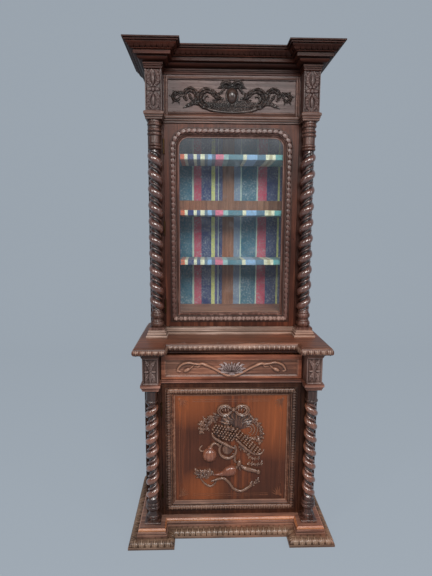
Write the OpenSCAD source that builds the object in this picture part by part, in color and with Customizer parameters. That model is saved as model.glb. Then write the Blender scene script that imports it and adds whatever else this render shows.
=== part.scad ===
/* [Overall] */
// Width of the lower case over its side panels
lower_w = 863; // [820:1:900]
// Depth of the lower case, from its front plane to its back
lower_d = 438; // [420:1:480]
// Width of the upper case over its side panels
upper_w = 832.4; // [800:0.2:850]
// Depth of the upper case, from its front plane to its back
upper_d = 268; // [240:1:300]

/* [Heights] */
// Height of the plinth
plinth_h = 78; // [66:1:100]
// Height of the lower door
lower_door_h = 702; // [640:1:760]
// Thickness of the moulded rail between the door and the drawer
rail_h = 20; // [16:1:28]
// Height of the drawer front
drawer_h = 120; // [104:1:150]
// Height of the hollow bed moulding under the counter
bed_h = 24; // [20:1:34]
// Thickness of the counter board with its carved nose
nose_h = 36; // [30:1:44]
// Height of the moulded base of the upper case
base_h = 38; // [32:1:50]
// Height of the glazed door
upper_door_h = 1024; // [960:1:1080]
// Height of the moulding between the glazed door and the frieze
architrave_h = 36; // [30:1:46]
// Height of the frieze
frieze_h = 200; // [180:1:240]
// Height of the cornice
cornice_h = 98; // [88:1:120]

/* [Columns] */
// Side of the square blocks above the lower columns
lower_die = 75; // [72:0.5:80]
// Side of the square blocks above the upper columns
upper_die = 77.4; // [74:0.2:82]
// Largest radius of the lower columns
lower_col_r = 33; // [28:0.5:34]
// Largest radius of the upper columns
upper_col_r = 35; // [30:0.5:35]
// Half the side of the square foot of each column
foot_half = 40; // [37:0.5:42]
// Height of the square foot of each column
foot_h = 13; // [10:0.5:18]
// Turns of the lower columns' twist
lower_turns = 7; // [5:1:9]
// Turns of the upper columns' twist
upper_turns = 10; // [7:1:12]
// Depth of the groove of the twist
groove = 12; // [6:0.5:14]

/* [Overhangs] */
// How far the plinth stands out from the blocks above it
plinth_over = 75; // [66:1:85]
// How far the moulding under the lower blocks stands out
cap_over = 10; // [6:0.5:10]
// How far the counter stands out from the blocks below it
counter_over = 40; // [30:1:50]
// How much further back the counter lies between the blocks
counter_back = 15; // [5:1:18]
// How far the base of the upper case stands out
base_over = 15; // [10:0.5:18]
// How far the moulding under the frieze stands out
architrave_over = 9; // [6:0.5:10]
// How far the cornice stands out
cornice_over = 90; // [75:1:105]

/* [Boards] */
// Thickness of the posts beside the doors
post_t = 24; // [22:0.5:28]
// Thickness of the side panels
side_t = 22; // [18:0.5:26]
// Thickness of the back of each case
back_t = 12; // [11:0.5:16]
// Thickness of the floor and ceiling boards
board_t = 18; // [15:0.5:22]
// Width of each lower post
lower_post_w = 81; // [80:0.5:86]
// Width of each upper post
upper_post_w = 76.7; // [76:0.1:82]
// Height of the vitrine's floor above the counter
floor_up = 115; // [100:1:125]

/* [Doors] */
// Thickness of the door frames
door_t = 24; // [22:0.5:26]
// Flat border of the upper door beside its moulding
upper_flat = 28; // [24:0.5:32]
// Flat border of the lower door beside its moulding
lower_flat = 18; // [16:0.5:22]
// Flat border of each door above its moulding
top_flat = 17; // [14:0.5:22]
// Flat border of each door below its moulding
bottom_flat = 25; // [20:0.5:30]
// Width of the mouldings on the doors
mould_w = 47; // [44:0.5:50]
// Height of the upper door's moulding above the frame
upper_mould_h = 10; // [7:0.5:10]
// Height of the lower door's moulding above the frame
lower_mould_h = 14; // [9:0.5:14]
// Depth of the glass and of the lower panel behind the front of their doors
mould_drop = 12; // [10:0.5:13]
// Outer radius of the upper corners of the glazed door's moulding
arch_r = 95; // [80:1:110]
// Thickness of the glass
glass_t = 3; // [2:0.5:4]
// Thickness of the lower door's panel
panel_t = 6; // [5:0.5:7]
// Space between a door or drawer and the posts beside it
door_gap = 2; // [1.5:0.1:2.6]

/* [Shelves] */
// Thickness of a shelf board
shelf_t = 25; // [20:0.5:28]
// Thickness of the striped cloth
cloth_t = 1.2; // [0.8:0.1:1.5]
// Height of the lowest covered shelf above the vitrine's floor
shelf_1 = 247; // [200:1:270]
// Height of the middle covered shelf above the vitrine's floor
shelf_2 = 504; // [470:1:520]
// Height of the highest covered shelf above the vitrine's floor
shelf_3 = 784; // [740:1:820]
// Distance of the covered shelves behind the front plane
shelf_in = 33; // [31:1:45]
// Height of the cupboard's shelf above the plinth
cupboard_shelf = 340; // [250:1:420]
// Width of the middle stile of the vitrine's back
muntin_w = 65; // [50:1:80]
// Height of the rail across the middle of the vitrine's back
mid_rail_h = 87; // [60:1:100]
// Side of the square cleats that carry the shelves
cleat = 14; // [10:0.5:18]

/* [Drawer] */
// Thickness of the drawer front
drawer_front_t = 22; // [18:0.5:24]
// Thickness of the drawer's sides and back
drawer_side_t = 12; // [10:0.5:16]
// Thickness of the drawer's bottom
drawer_bottom_t = 6; // [5:0.5:8]
// Length of the drawer box behind its front
drawer_l = 370; // [300:1:380]

/* [Hinges and locks] */
// Radius of the hinge knuckles
knuckle_r = 4.2; // [3.6:0.1:5]
// Radius of the hinge pins
pin_r = 2; // [1.5:0.1:2.4]
// Height of a hinge
hinge_h = 72; // [60:1:90]
// Thickness of a hinge leaf
leaf_t = 1.8; // [1.5:0.1:2.2]
// How far a hinge leaf reaches into the wood
leaf_w = 18; // [14:0.5:20]
// How far the hinge pins stand in front of the doors
pin_out = 6; // [5.4:0.1:7]
// Height of a lock
lock_h = 60; // [54:1:70]
// Width of a lock
lock_w = 38; // [34:0.5:42]
// Thickness of a lock
lock_t = 10; // [8:0.5:11]
// Height of a lock's bolt
bolt_h = 16; // [12:0.5:20]
// How far a bolt comes out
bolt_throw = 8; // [6:0.5:9]
// Radius of a keyhole
key_r = 2.6; // [2:0.1:3]

/* [Clearances] */
// Clearance between pieces that slide or fit in one another
fit = 0.3; // [0.2:0.05:0.4]
// Radial clearance between a hinge pin and its knuckles
pin_fit = 0.08; // [0.05:0.01:0.1]

/* [Hidden] */

// How far a cut reaches past the face that it opens
eps = 1;
// Steps of a quarter round in a moulding, and of a rounded corner
arc_n = 4;
corner_n = 6;
// Points round a twisted shaft, and steps of height for each of its turns
twist_n = 10;
twist_steps = 12;
// Colours of the wood, the metal, the glass and the cloth
oak = "#4a2d24";
oak_dark = "#3a2622";
oak_red = "#6b3b25";
oak_raw = "#7a5a3e";
brass = "#b08d4a";
iron = "#4a4644";
glass_c = "#b8c8cc";
cloth_c = "#2b4a5e";

// Depth: the two cases share one back plane
y_back = (lower_d + lower_die + plinth_over) / 2;
y_low = y_back - lower_d;
y_up = y_back - upper_d;
// Half widths of the cases, the columns' centres and the blocks' inner faces
low_x = lower_w / 2;
up_x = upper_w / 2;
low_col = [low_x - lower_die / 2, y_low - lower_die / 2];
up_col = [up_x - upper_die / 2, y_up - upper_die / 2];
low_in = low_x - lower_die;
up_in = up_x - upper_die;
// Half widths between the posts, and of the doors and the drawer front
low_open = low_x - lower_post_w;
up_open = up_x - upper_post_w;
low_door_x = low_open - door_gap;
up_door_x = up_open - door_gap;
// Half widths inside the side panels
low_inner = low_x - side_t;
up_inner = up_x - side_t;
// Heights of each piece's underside and top
door_rise = 4;
drawer_rise = 3;
drawer_drop = 7;
glass_door_rise = 2.5;
glass_door_drop = 3.5;
z_ld0 = plinth_h + door_rise;
z_ld1 = z_ld0 + lower_door_h;
z_rail = z_ld1 + door_rise;
z_block = z_rail + rail_h;
z_dr0 = z_block + drawer_rise;
z_dr1 = z_dr0 + drawer_h;
z_bed = z_dr1 + drawer_drop;
z_nose = z_bed + bed_h;
z_counter = z_nose + nose_h;
z_base = z_counter + base_h;
z_ud0 = z_base + glass_door_rise;
z_ud1 = z_ud0 + upper_door_h;
z_arch = z_ud1 + glass_door_drop;
z_frieze = z_arch + architrave_h;
z_corn = z_frieze + frieze_h;
z_top = z_corn + cornice_h;
z_floor = z_counter + floor_up;
// The moulding under the lower blocks reaches below the rail
cap_h = rail_h + 12;
z_cap = z_block - cap_h;
// The lip by which a door's moulding reaches over the glass or the panel
lip = 17;
low_sight = low_door_x - lower_flat - mould_w + lip;
up_sight = up_door_x - upper_flat - mould_w + lip;
low_sight_z = [z_ld0 + bottom_flat + mould_w - lip, z_ld1 - top_flat - mould_w + lip];
up_sight_z = [z_ud0 + bottom_flat + mould_w - lip, z_ud1 - top_flat - mould_w + lip];
// Width of the strips behind the lower panel
strip_w = 8;
// Height of the lower back above the floor
back_rise = 20;
// Hinge pins, and the heights of the hinges' middles
low_pin = [-low_open + door_gap / 2, y_low - pin_out];
up_pin = [-up_open + door_gap / 2, y_up - pin_out];
low_hinge_z = [z_ld0 + 130, z_ld1 - 130];
up_hinge_z = [z_ud0 + 110, (z_ud0 + z_ud1) / 2, z_ud1 - 110];
// Heights of the locks' middles, and the keyholes' distance from the edge
low_lock_z = (z_ld0 + z_ld1) / 2;
up_lock_z = (z_ud0 + z_ud1) / 2 - 40;
key_up = upper_flat / 2;
key_low = lower_flat / 2;
// The bolt lies in the upper part of its lock and the keyhole in the lower
bolt_rise = lock_h / 5;
lock_wall = 2;
// The drawer box between its guides
box_x = low_open - 10;
box_z = z_dr0 + 2;
box_h = drawer_h - 22;
guide_gap = 1.5;
guide_w = 20;
guide_h = 30;
// The vitrine's back: its middle rail and the depth of its panels
mid_rail_z = z_floor + shelf_2 + 3;
back_stile_x = up_inner - 60;
back_sink = 3;
back_panel_t = 5;
// Underside of the lid inside the cornice
lid_z = z_top - 30;
// Undersides of the covered shelves
shelf_z = [z_floor + shelf_1, z_floor + shelf_2, z_floor + shelf_3];

// A quarter round that bulges and stands out more as it rises, from a up to b
function ovolo(a, b, i0 = 0) = [for (i = [i0:arc_n]) let (t = 90 * i / arc_n)
    [a[0] + (b[0] - a[0]) * sin(t), a[1] + (b[1] - a[1]) * (1 - cos(t))]];
// A hollow quarter round that stands out more as it rises, from a up to b
function cavetto(a, b, i0 = 0) = [for (i = [i0:arc_n]) let (t = 90 * i / arc_n)
    [a[0] + (b[0] - a[0]) * (1 - cos(t)), a[1] + (b[1] - a[1]) * sin(t)]];
// A quarter round that bulges and draws in as it rises, from a up to b
function shoulder(a, b, i0 = 0) = [for (i = [i0:arc_n]) let (t = 90 * i / arc_n)
    [b[0] + (a[0] - b[0]) * cos(t), a[1] + (b[1] - a[1]) * sin(t)]];
// An S curve from a up to b, hollow below and bulging above
function cyma(a, b) = concat(cavetto(a, (a + b) / 2), ovolo((a + b) / 2, b, 1));
// A profile drawn for an overhang of 1 and a height of 1, at its real size
function sized(profile, over, h) = [for (q = profile) [q[0] * over, q[1] * h]];
function raised(profile, h) = [for (q = profile) [q[0], q[1] + h]];

// Profiles: how far each point stands out, and its height
plinth_profile = sized(concat([[1, 0], [1, 0.15]], shoulder([0.94, 0.16], [0.53, 0.46]),
    [[0.48, 0.47], [0.48, 0.60], [0.43, 0.62], [0.43, 0.75], [0.37, 0.78], [0.40, 0.84],
    [0.40, 0.91], [0.36, 0.97], [0.32, 1]]), plinth_over, plinth_h);
cap_profile = sized(concat([[0.06, 0], [0.12, 0.03], [0.12, 0.20], [0.40, 0.24], [0.40, 0.36]],
    cavetto([0.45, 0.38], [0.90, 0.56]), [[1, 0.60], [1, 1]]), cap_over, cap_h);
rail_profile = sized(concat(cavetto([0.30, 0], [0.90, 0.30]), [[1, 0.36], [1, 1]]),
    cap_over, rail_h);
counter_profile = concat(sized(concat([[0.02, 0], [0.06, 0.10]],
    cavetto([0.10, 0.14], [0.72, 0.86]), [[0.84, 0.92]]), counter_over, bed_h),
    raised(sized(concat([[0.90, 0], [1, 0.12], [1, 0.28]], shoulder([1, 0.30], [0.58, 1])),
    counter_over, nose_h), bed_h));
base_profile = sized([[1, 0], [1, 0.22], [0.87, 0.26], [0.62, 0.36], [0.62, 0.60], [0.40, 0.66],
    [0.40, 0.84], [0.20, 0.88], [0.14, 1]], base_over, base_h);
architrave_profile = sized([[0.06, 0], [0.20, 0.05], [0.20, 0.25], [0.55, 0.36], [0.55, 0.52],
    [1, 0.64], [1, 0.88], [0.70, 1]], architrave_over, architrave_h);
cornice_profile = sized(concat([[0.01, 0], [0.04, 0.02], [0.04, 0.08], [0.08, 0.09], [0.08, 0.17]],
    ovolo([0.13, 0.19], [0.36, 0.36]), [[0.48, 0.38], [0.52, 0.40], [0.52, 0.56], [0.61, 0.58]],
    cyma([0.62, 0.60], [0.84, 0.85]), [[0.92, 0.86], [0.93, 0.92], [1, 0.94], [1, 1]]),
    cornice_over, cornice_h);

// Outline, from above, of a case with a block at each front corner, grown by p
function outline(xo, xi, yf, yc, p) = [[-xo - p, y_back], [-xo - p, yf - p], [-xi + p, yf - p],
    [-xi + p, yc - p], [xi - p, yc - p], [xi - p, yf - p], [xo + p, yf - p], [xo + p, y_back]];

// A skin over rings of as many points each: a closed loop of rings, or one with the faces
// listed in caps at its first ring and, turned over, at its last
module loft(rings, caps = []) {
    n = len(rings[0]);
    m = len(rings);
    last = (m - 1) * n;
    sides = [for (i = [0:(len(caps) > 0 ? m - 2 : m - 1)]) for (j = [0:n - 1])
        let (k = (i + 1) % m, l = (j + 1) % n)
        each [[k * n + j, k * n + l, i * n + l], [k * n + j, i * n + l, i * n + j]]];
    ends = [for (f = caps) each [f, [for (j = [len(f) - 1:-1:0]) last + f[j]]]];
    polyhedron([for (r = rings) each r], concat(sides, ends));
}

// A moulding at height z whose outline for an overhang p is ring(p)
module moulded(profile, z, ring, caps) {
    loft([for (q = profile) [for (c = ring(q[0])) [c[0], c[1], z + q[1]]]], caps);
}

// A moulding that follows the front and the sides of a case
module around(profile, xo, xi, yf, yc, z) {
    moulded(profile, z, function(p) outline(xo, xi, yf, yc, p),
        [[0, 1, 2, 3], [0, 3, 4, 7], [4, 5, 6, 7]]);
}

// Its left corner up to the mitre: a block's front, and a return outside x = inner that runs
// along the side, behind the posts' thickness t
module corner(profile, xo, xi, yf, yc, z, inner, t = 0) {
    moulded(profile, z, function(p) concat([[-xo - p, y_back], [-xo - p, yf - p],
        [-xi + p, yf - p], [-xi + p, yc - p], [-xi, yc]], t > 0 ? [[-xi, yc + t]] : [],
        [[-inner, yc + t], [-inner, y_back]]),
        t > 0 ? [[0, 1, 6, 7], [1, 2, 3, 4], [1, 4, 5, 6]] : [[0, 1, 5, 6], [1, 2, 3, 4], [1, 4, 5]]);
}

// Its front between the mitres, and a tongue of depth t between the posts
module front(profile, xi, yc, z, open, t) {
    moulded(profile, z, function(p) [[-xi + p, yc - p], [xi - p, yc - p], [xi, yc], [open, yc],
        [open, yc + t], [-open, yc + t], [-open, yc], [-xi, yc]],
        [[0, 1, 3, 6], [1, 2, 3], [0, 6, 7], [3, 4, 5, 6]]);
}

// A box from its lowest corner a to its highest corner b
module box(a, b) {
    translate(a) cube(b - a);
}

// The same on the left side or, mirrored, on the right
module sided(side) {
    mirror([side > 0 ? 1 : 0, 0, 0]) children();
}

// Plinth
module plinth_corner(side) {
    color(oak_red) sided(side)
        corner(plinth_profile, low_x, low_in, y_low - lower_die, y_low, 0, low_x);
}

module plinth_left() {
    plinth_corner(-1);
}

module plinth_right() {
    plinth_corner(1);
}

module plinth_front() {
    color(oak_red) front(plinth_profile, low_in, y_low, 0, low_open - fit, post_t);
}

// Lower case
module lower_floor() {
    color(oak_raw) box([-low_inner + fit, y_low + post_t, plinth_h - board_t],
        [low_inner - fit, y_back - back_t - fit, plinth_h]);
}

// A side panel with a sunk field on its outer face
module case_side(side, x, y0, z0, z1, margin) {
    field = 5;
    color(oak) sided(side) difference() {
        box([-x, y0, z0], [-x + side_t, y_back, z1]);
        box([-x - eps, y0 + margin, z0 + 2 * margin], [-x + field, y_back - margin, z1 - margin]);
    }
}

module lower_side_left() {
    case_side(-1, low_x, y_low + post_t, 0, z_bed, 75);
}

module lower_side_right() {
    case_side(1, low_x, y_low + post_t, 0, z_bed, 75);
}

// The place of one lock's bolt in the post beside it
module bolt_mortise(open, y, z) {
    box([open - eps, y + door_t - lock_t + lock_wall, z + bolt_rise - bolt_h / 2 - fit],
        [open + bolt_throw - door_gap + 2, y + door_t - lock_wall, z + bolt_rise + bolt_h / 2 + fit]);
}

// The shallow places of the hinge leaves, from x towards dir
module leaf_mortises(x, dir, y, heights) {
    for (z = heights)
        translate([x - (dir < 0 ? leaf_t + fit : eps), y - eps, z - hinge_h / 2 - fit])
            cube([leaf_t + fit + eps, leaf_w + fit + eps, hinge_h + 2 * fit]);
}

module lower_post(side) {
    sided(side) box([-low_x, y_low, 0], [-low_open, y_low + post_t, z_bed]);
}

module lower_post_left() {
    color(oak) difference() {
        lower_post(-1);
        leaf_mortises(-low_open, -1, y_low, low_hinge_z);
    }
}

module lower_post_right() {
    color(oak) difference() {
        lower_post(1);
        bolt_mortise(low_open, y_low, low_lock_z);
    }
}

module lower_back() {
    color(oak_raw) box([-low_inner + fit, y_back - back_t, back_rise],
        [low_inner - fit, y_back, z_bed]);
}

module lower_shelf() {
    color(oak_raw) box([-low_inner + fit, y_low + post_t + 30, plinth_h + cupboard_shelf],
        [low_inner - fit, y_back - back_t - fit, plinth_h + cupboard_shelf + board_t]);
}

module drawer_rail() {
    yf = y_low - lower_die;
    color(oak_red) {
        front(rail_profile, low_in, y_low, z_rail, low_open - fit, post_t);
        for (side = [-1, 1]) sided(side) moulded(cap_profile, z_cap, function(p)
            [[-low_x - p, y_low], [-low_x - p, yf - p], [-low_in + p, yf - p],
            [-low_in + p, y_low - p], [-low_in, y_low]], [[0, 1, 2, 3, 4]]);
    }
}

module drawer_runners() {
    y0 = y_low + post_t;
    top = box_z - fit;
    color(oak_raw) for (side = [-1, 1]) sided(side) {
        box([-low_inner, y0, z_rail], [-box_x + 20, y_back - back_t - fit, top]);
        box([-box_x - guide_gap - guide_w, y0, top + fit], [-box_x - guide_gap,
            y_back - back_t - fit, top + guide_h]);
    }
}

// A square block over a column, with a sunk front face
module block(side, col, die, z0, z1) {
    sunk = 3;
    margin = 7;
    leaf = (z1 - z0) / 4;
    sided(side) {
        difference() {
            box([-col[0] - die / 2, col[1] - die / 2, z0],
                [-col[0] + die / 2, col[1] + die / 2, z1]);
            box([-col[0] - die / 2 + margin, col[1] - die / 2 - eps, z0 + margin],
                [-col[0] + die / 2 - margin, col[1] - die / 2 + sunk, z1 - margin]);
        }
        for (z = [z0 + leaf, z1 - leaf]) translate([-col[0], col[1] - die / 2 + sunk + 8, 0])
            egg([0, z], 12, leaf - margin);
    }
}

module lower_block_left() {
    color(oak) block(-1, low_col, lower_die, z_block, z_bed);
}

module lower_block_right() {
    color(oak) block(1, low_col, lower_die, z_block, z_bed);
}

// An egg of half width r and half height h
module egg(c, r, h) {
    translate([c[0], 0, c[1]]) rotate_extrude($fn = 32)
        polygon([for (a = [-90:22.5:90]) [r * cos(a), h * sin(a)]]);
}

// Columns: a square foot, a turned foot, a twisted shaft and a turned head

// Radius of the shaft at the angle a from the crown of its strand
function strand(r, a) = r - groove + groove * pow(abs(cos(a / 2)), 0.7);

module twisted_shaft(r, h, turns, hand) {
    steps = turns * twist_steps;
    loft([for (k = [0:steps]) [for (i = [0:twist_n - 1])
        let (a = 360 * i / twist_n, q = strand(r, a), b = a + hand * 360 * turns * k / steps)
        [q * cos(b), q * sin(b), h * k / steps]]], [[for (i = [0:twist_n - 1]) i]]);
}

// A turned piece from its points of radius and height
module turned(points) {
    rotate_extrude($fn = 48) polygon(concat([[0, points[0][1]]], points,
        [[0, points[len(points) - 1][1]]]));
}

// Rings of a column: each is a bulge of radius r between two heights
function ring(r, z0, z1) = [for (t = [0:30:180])
    [r - (1 - sin(t)) * 0.28 * (z1 - z0), z0 + (z1 - z0) * (1 - cos(t)) / 2]];

lower_foot = concat([[27, 0], [27, 8]], ring(31, 9, 26), [[25, 28], [23, 36], [23, 48], [27, 56]],
    ring(35, 58, 76), ring(34, 78, 94), [[26, 96], [24, 112]]);
lower_head = concat([[22, 0], [27, 6]], ring(31, 8, 20), [[27, 21], [27, 68], [31, 72], [31, 76]]);
upper_foot = concat([[31, 0]], ring(35, 1, 28), [[29, 30], [27, 35], [27, 42]],
    ring(34, 44, 70), [[29, 72], [27, 78], [24, 84]]);
upper_head = concat([[22, 0], [27, 4]], ring(33, 6, 18), [[28, 19]], ring(33, 20, 32),
    [[29, 33], [29, 68]], ring(35, 70, 84), [[30, 86], [30, 88]], ring(34, 89, 101),
    [[29, 103], [29, 113]], ring(35, 115, 129), [[33, 131], [33, 141]]);

module column(side, col, die, z0, z1, r, turns, hand, foot, head) {
    foot_top = foot_h + foot[len(foot) - 1][1];
    head_h = head[len(head) - 1][1];
    shaft_h = z1 - z0 - foot_top - head_h;
    sided(side) translate([-col[0], col[1], z0]) {
        box([-foot_half, -foot_half, 0], [foot_half, die / 2, foot_h]);
        translate([0, 0, foot_h]) turned(foot);
        translate([0, 0, foot_top - eps]) twisted_shaft(r, shaft_h + 2 * eps, turns, hand);
        translate([0, 0, z1 - z0 - head_h]) turned(head);
    }
}

module lower_column_left() {
    color(oak) column(-1, low_col, lower_die, plinth_h, z_cap, lower_col_r, lower_turns, 1,
        lower_foot, lower_head);
}

module lower_column_right() {
    color(oak) column(1, low_col, lower_die, plinth_h, z_cap, lower_col_r, lower_turns, 1,
        lower_foot, lower_head);
}

module upper_column_left() {
    color(oak_dark) column(-1, up_col, upper_die, z_base, z_arch, upper_col_r, upper_turns, -1,
        upper_foot, upper_head);
}

module upper_column_right() {
    color(oak_dark) column(1, up_col, upper_die, z_base, z_arch, upper_col_r, upper_turns, -1,
        upper_foot, upper_head);
}

// Counter
module counter_top() {
    color(oak_red) difference() {
        around(counter_profile, low_x, low_in, y_low - lower_die, y_low + counter_back, z_bed);
        box([-low_inner, y_low + post_t + 10, z_bed - eps],
            [low_inner, y_back - back_t, z_nose]);
    }
}

// Drawer
module drawer_front() {
    sunk = 4;
    border = [17, 28, 20];
    zc = z_dr0 + drawer_h / 2;
    color(oak_red) {
        difference() {
            box([-low_door_x, y_low, z_dr0], [low_door_x, y_low + drawer_front_t, z_dr1]);
            box([-low_door_x + border[0], y_low - eps, z_dr0 + border[2]],
                [low_door_x - border[0], y_low + sunk, z_dr1 - border[1]]);
        }
        for (i = [-2:2]) translate([0, y_low + 10, z_dr0 + 26]) rotate([0, 28 * i, 0])
            egg([0, 36], 6.5, 22);
        for (s = [-1, 1]) for (i = [0:3]) translate([s * (92 + 46 * i), y_low + 10, zc])
            rotate([0, s * (i % 2 == 0 ? 62 : 112), 0]) egg([0, 0], 8.5, 23);
    }
}

// Grooves that hold the drawer's bottom
module bottom_groove(x, z) {
    box([-x, y_low + drawer_front_t - eps, z], [x, y_low + drawer_front_t + drawer_l + eps,
        z + drawer_bottom_t + 2 * fit]);
}

module drawer_box() {
    y0 = y_low + drawer_front_t;
    y1 = y0 + drawer_l;
    inner = box_x - drawer_side_t;
    color(oak_raw) {
        for (side = [-1, 1]) sided(side) difference() {
            box([-box_x, y0, box_z], [-inner, y1, box_z + box_h]);
            bottom_groove(inner + drawer_side_t / 2, box_z + 8);
        }
        box([-inner + fit, y1 - drawer_side_t, box_z + 8 + drawer_bottom_t + 2 * fit],
            [inner - fit, y1, box_z + box_h]);
    }
}

module drawer_bottom() {
    x = box_x - drawer_side_t / 2 - fit;
    color(oak_raw) box([-x, y_low + drawer_front_t, box_z + 8 + fit],
        [x, y_low + drawer_front_t + drawer_l, box_z + 8 + fit + drawer_bottom_t]);
}

// Doors

// Outline of a door's moulding, inset by d, with upper corners of radius r
function door_ring(hw, z0, z1, r, d, y) = let (w = hw - d, q = max(r - d, 1))
    concat([[-w, y, z0 + d], [w, y, z0 + d]],
    r > 0 ? [for (k = [0:corner_n]) let (a = 90 * k / corner_n)
        [w - q + q * cos(a), y, z1 - d - q + q * sin(a)]] : [[w, y, z1 - d]],
    r > 0 ? [for (k = [0:corner_n]) let (a = 90 + 90 * k / corner_n)
        [-w + q + q * cos(a), y, z1 - d - q + q * sin(a)]] : [[-w, y, z1 - d]]);

// Section of a door's moulding: distance in from its edge, and height above the frame
function door_profile(h) = concat([[0, 0], [0, 0.45 * h], [2, 0.6 * h]],
    [for (t = [15:30:165]) [13 - 10 * cos(t), (0.55 + 0.45 * sin(t)) * h]],
    [[24, 0.5 * h], [26, 0.3 * h], [mould_w - 3, 3 - mould_drop], [mould_w, 3 - mould_drop],
    [mould_w, -mould_drop], [mould_w - lip, -mould_drop], [mould_w - lip, 0]]);

module door_moulding(hw, z0, z1, r, y, h) {
    loft([for (q = door_profile(h)) door_ring(hw, z0, z1, r, q[0], y - q[1])]);
}

// A lock's pocket in the back of a stile, with the keyhole through the stile
module lock_cut(x, y, z, key) {
    box([x - lock_w - fit, y + door_t - lock_t - fit, z - lock_h / 2 - fit],
        [x + eps, y + door_t + eps, z + lock_h / 2 + fit]);
    keyhole(x - key, y - eps, door_t + 2 * eps, z - bolt_rise);
}

module keyhole(x, y, l, z) {
    translate([x, y, z]) {
        rotate([-90, 0, 0]) cylinder(r = key_r, h = l, $fn = 32);
        translate([-key_r / 2, 0, -3 * key_r]) cube([key_r, l, 3 * key_r]);
    }
}

// A frame of two stiles and two rails round an opening, with a hair's gap at the joints
module door_frame(hw, z0, z1, sight, sz, y) {
    for (side = [-1, 1]) sided(side) box([-hw, y, z0], [-sight, y + door_t, z1]);
    box([-sight + fit, y, z0], [sight - fit, y + door_t, sz[0]]);
    box([-sight + fit, y, sz[1]], [sight - fit, y + door_t, z1]);
}

module lower_door_frame() {
    y_in = y_low + mould_drop + panel_t + fit;
    color(oak) {
        difference() {
            door_frame(low_door_x, z_ld0, z_ld1, low_sight, low_sight_z, y_low);
            leaf_mortises(-low_door_x, 1, y_low, low_hinge_z);
            lock_cut(low_door_x, y_low, low_lock_z, key_low);
        }
        for (side = [-1, 1]) sided(side)
            box([-low_sight + fit, y_in, low_sight_z[0] + fit],
                [-low_sight + strip_w, y_low + door_t, low_sight_z[1] - fit]);
    }
}

module lower_door_moulding() {
    color(oak) door_moulding(low_door_x - lower_flat, z_ld0 + bottom_flat, z_ld1 - top_flat, 0,
        y_low, lower_mould_h);
}

module lower_door_panel() {
    color(oak_red) box([-low_sight + fit, y_low + mould_drop, low_sight_z[0] + fit],
        [low_sight - fit, y_low + mould_drop + panel_t, low_sight_z[1] - fit]);
}

module upper_door_frame() {
    color(oak_dark) difference() {
        door_frame(up_door_x, z_ud0, z_ud1, up_sight, up_sight_z, y_up);
        leaf_mortises(-up_door_x, 1, y_up, up_hinge_z);
        lock_cut(up_door_x, y_up, up_lock_z, key_up);
    }
}

module upper_door_moulding() {
    color(oak_dark) door_moulding(up_door_x - upper_flat, z_ud0 + bottom_flat, z_ud1 - top_flat,
        arch_r, y_up, upper_mould_h);
}

module door_glass() {
    color(glass_c, 0.4) box([-up_sight + fit, y_up + mould_drop, up_sight_z[0] + fit],
        [up_sight - fit, y_up + mould_drop + glass_t, up_sight_z[1] - fit]);
}

module glass_beads() {
    y0 = y_up + mould_drop + glass_t;
    y1 = y_up + door_t - 1;
    x = up_sight - fit;
    z0 = up_sight_z[0] + fit;
    z1 = up_sight_z[1] - fit;
    color(oak_dark) {
        for (side = [-1, 1]) sided(side) box([-x, y0, z0], [-x + lip, y1, z1]);
        box([-x + lip + fit, y0, z0], [x - lip - fit, y1, z0 + lip]);
        box([-x + lip + fit, y0, z1 - lip], [x - lip - fit, y1, z1]);
    }
}

// Hinges: three knuckles on each pin, the middle one and the pin on the door
module knuckle(pin, z0, z1) {
    translate([pin[0], pin[1], z0]) cylinder(r = knuckle_r, h = z1 - z0, $fn = 32);
}

module door_hinge_leaf(pin, z, y) {
    third = hinge_h / 3;
    face = pin[0] + door_gap / 2;
    knuckle(pin, z - third / 2 + fit, z + third / 2 - fit);
    translate([pin[0], pin[1], z - hinge_h / 2]) cylinder(r = pin_r, h = hinge_h, $fn = 32);
    box([face, pin[1], z - third / 2 + fit], [face + leaf_t, y, z + third / 2 - fit]);
    box([face, pin[1] + knuckle_r + 2 * fit, z - hinge_h / 2], [face + leaf_t, y + leaf_w,
        z + hinge_h / 2]);
}

module case_hinge_leaf(pin, z, y) {
    third = hinge_h / 3;
    face = pin[0] - door_gap / 2;
    difference() {
        union() {
            for (s = [-1, 1]) translate([0, 0, s * third]) {
                knuckle(pin, z - third / 2, z + third / 2);
                box([face - leaf_t, pin[1], z - third / 2], [face, y, z + third / 2]);
            }
            box([face - leaf_t, pin[1] + knuckle_r + 2 * fit, z - hinge_h / 2],
                [face, y + leaf_w, z + hinge_h / 2]);
        }
        translate([pin[0], pin[1], z - hinge_h / 2 - eps])
            cylinder(r = pin_r + pin_fit, h = hinge_h + 2 * eps, $fn = 32);
    }
}

module lower_door_hinges() {
    color(brass) for (z = low_hinge_z) door_hinge_leaf(low_pin, z, y_low);
}

module upper_door_hinges() {
    color(brass) for (z = up_hinge_z) door_hinge_leaf(up_pin, z, y_up);
}

module case_hinge_leaves() {
    color(brass) {
        for (z = low_hinge_z) case_hinge_leaf(low_pin, z, y_low);
        for (z = up_hinge_z) case_hinge_leaf(up_pin, z, y_up);
    }
}

// Locks
module lock(x, y, z, key) {
    y1 = y + door_t;
    color(iron) difference() {
        box([x - lock_w, y1 - lock_t, z - lock_h / 2], [x, y1, z + lock_h / 2]);
        box([x - lock_w + lock_wall, y1 - lock_t + lock_wall, z + bolt_rise - bolt_h / 2 - fit],
            [x + eps, y1 - lock_wall, z + bolt_rise + bolt_h / 2 + fit]);
        keyhole(x - key, y1 - lock_t - eps, lock_t + 2 * eps, z - bolt_rise);
    }
}

module bolt(x, y, z) {
    y1 = y + door_t;
    color(brass) box([x - lock_w + lock_wall + bolt_throw, y1 - lock_t + lock_wall + fit,
        z + bolt_rise - bolt_h / 2], [x - fit, y1 - lock_wall - fit, z + bolt_rise + bolt_h / 2]);
}

module lower_door_lock() {
    lock(low_door_x, y_low, low_lock_z, key_low);
}

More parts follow.
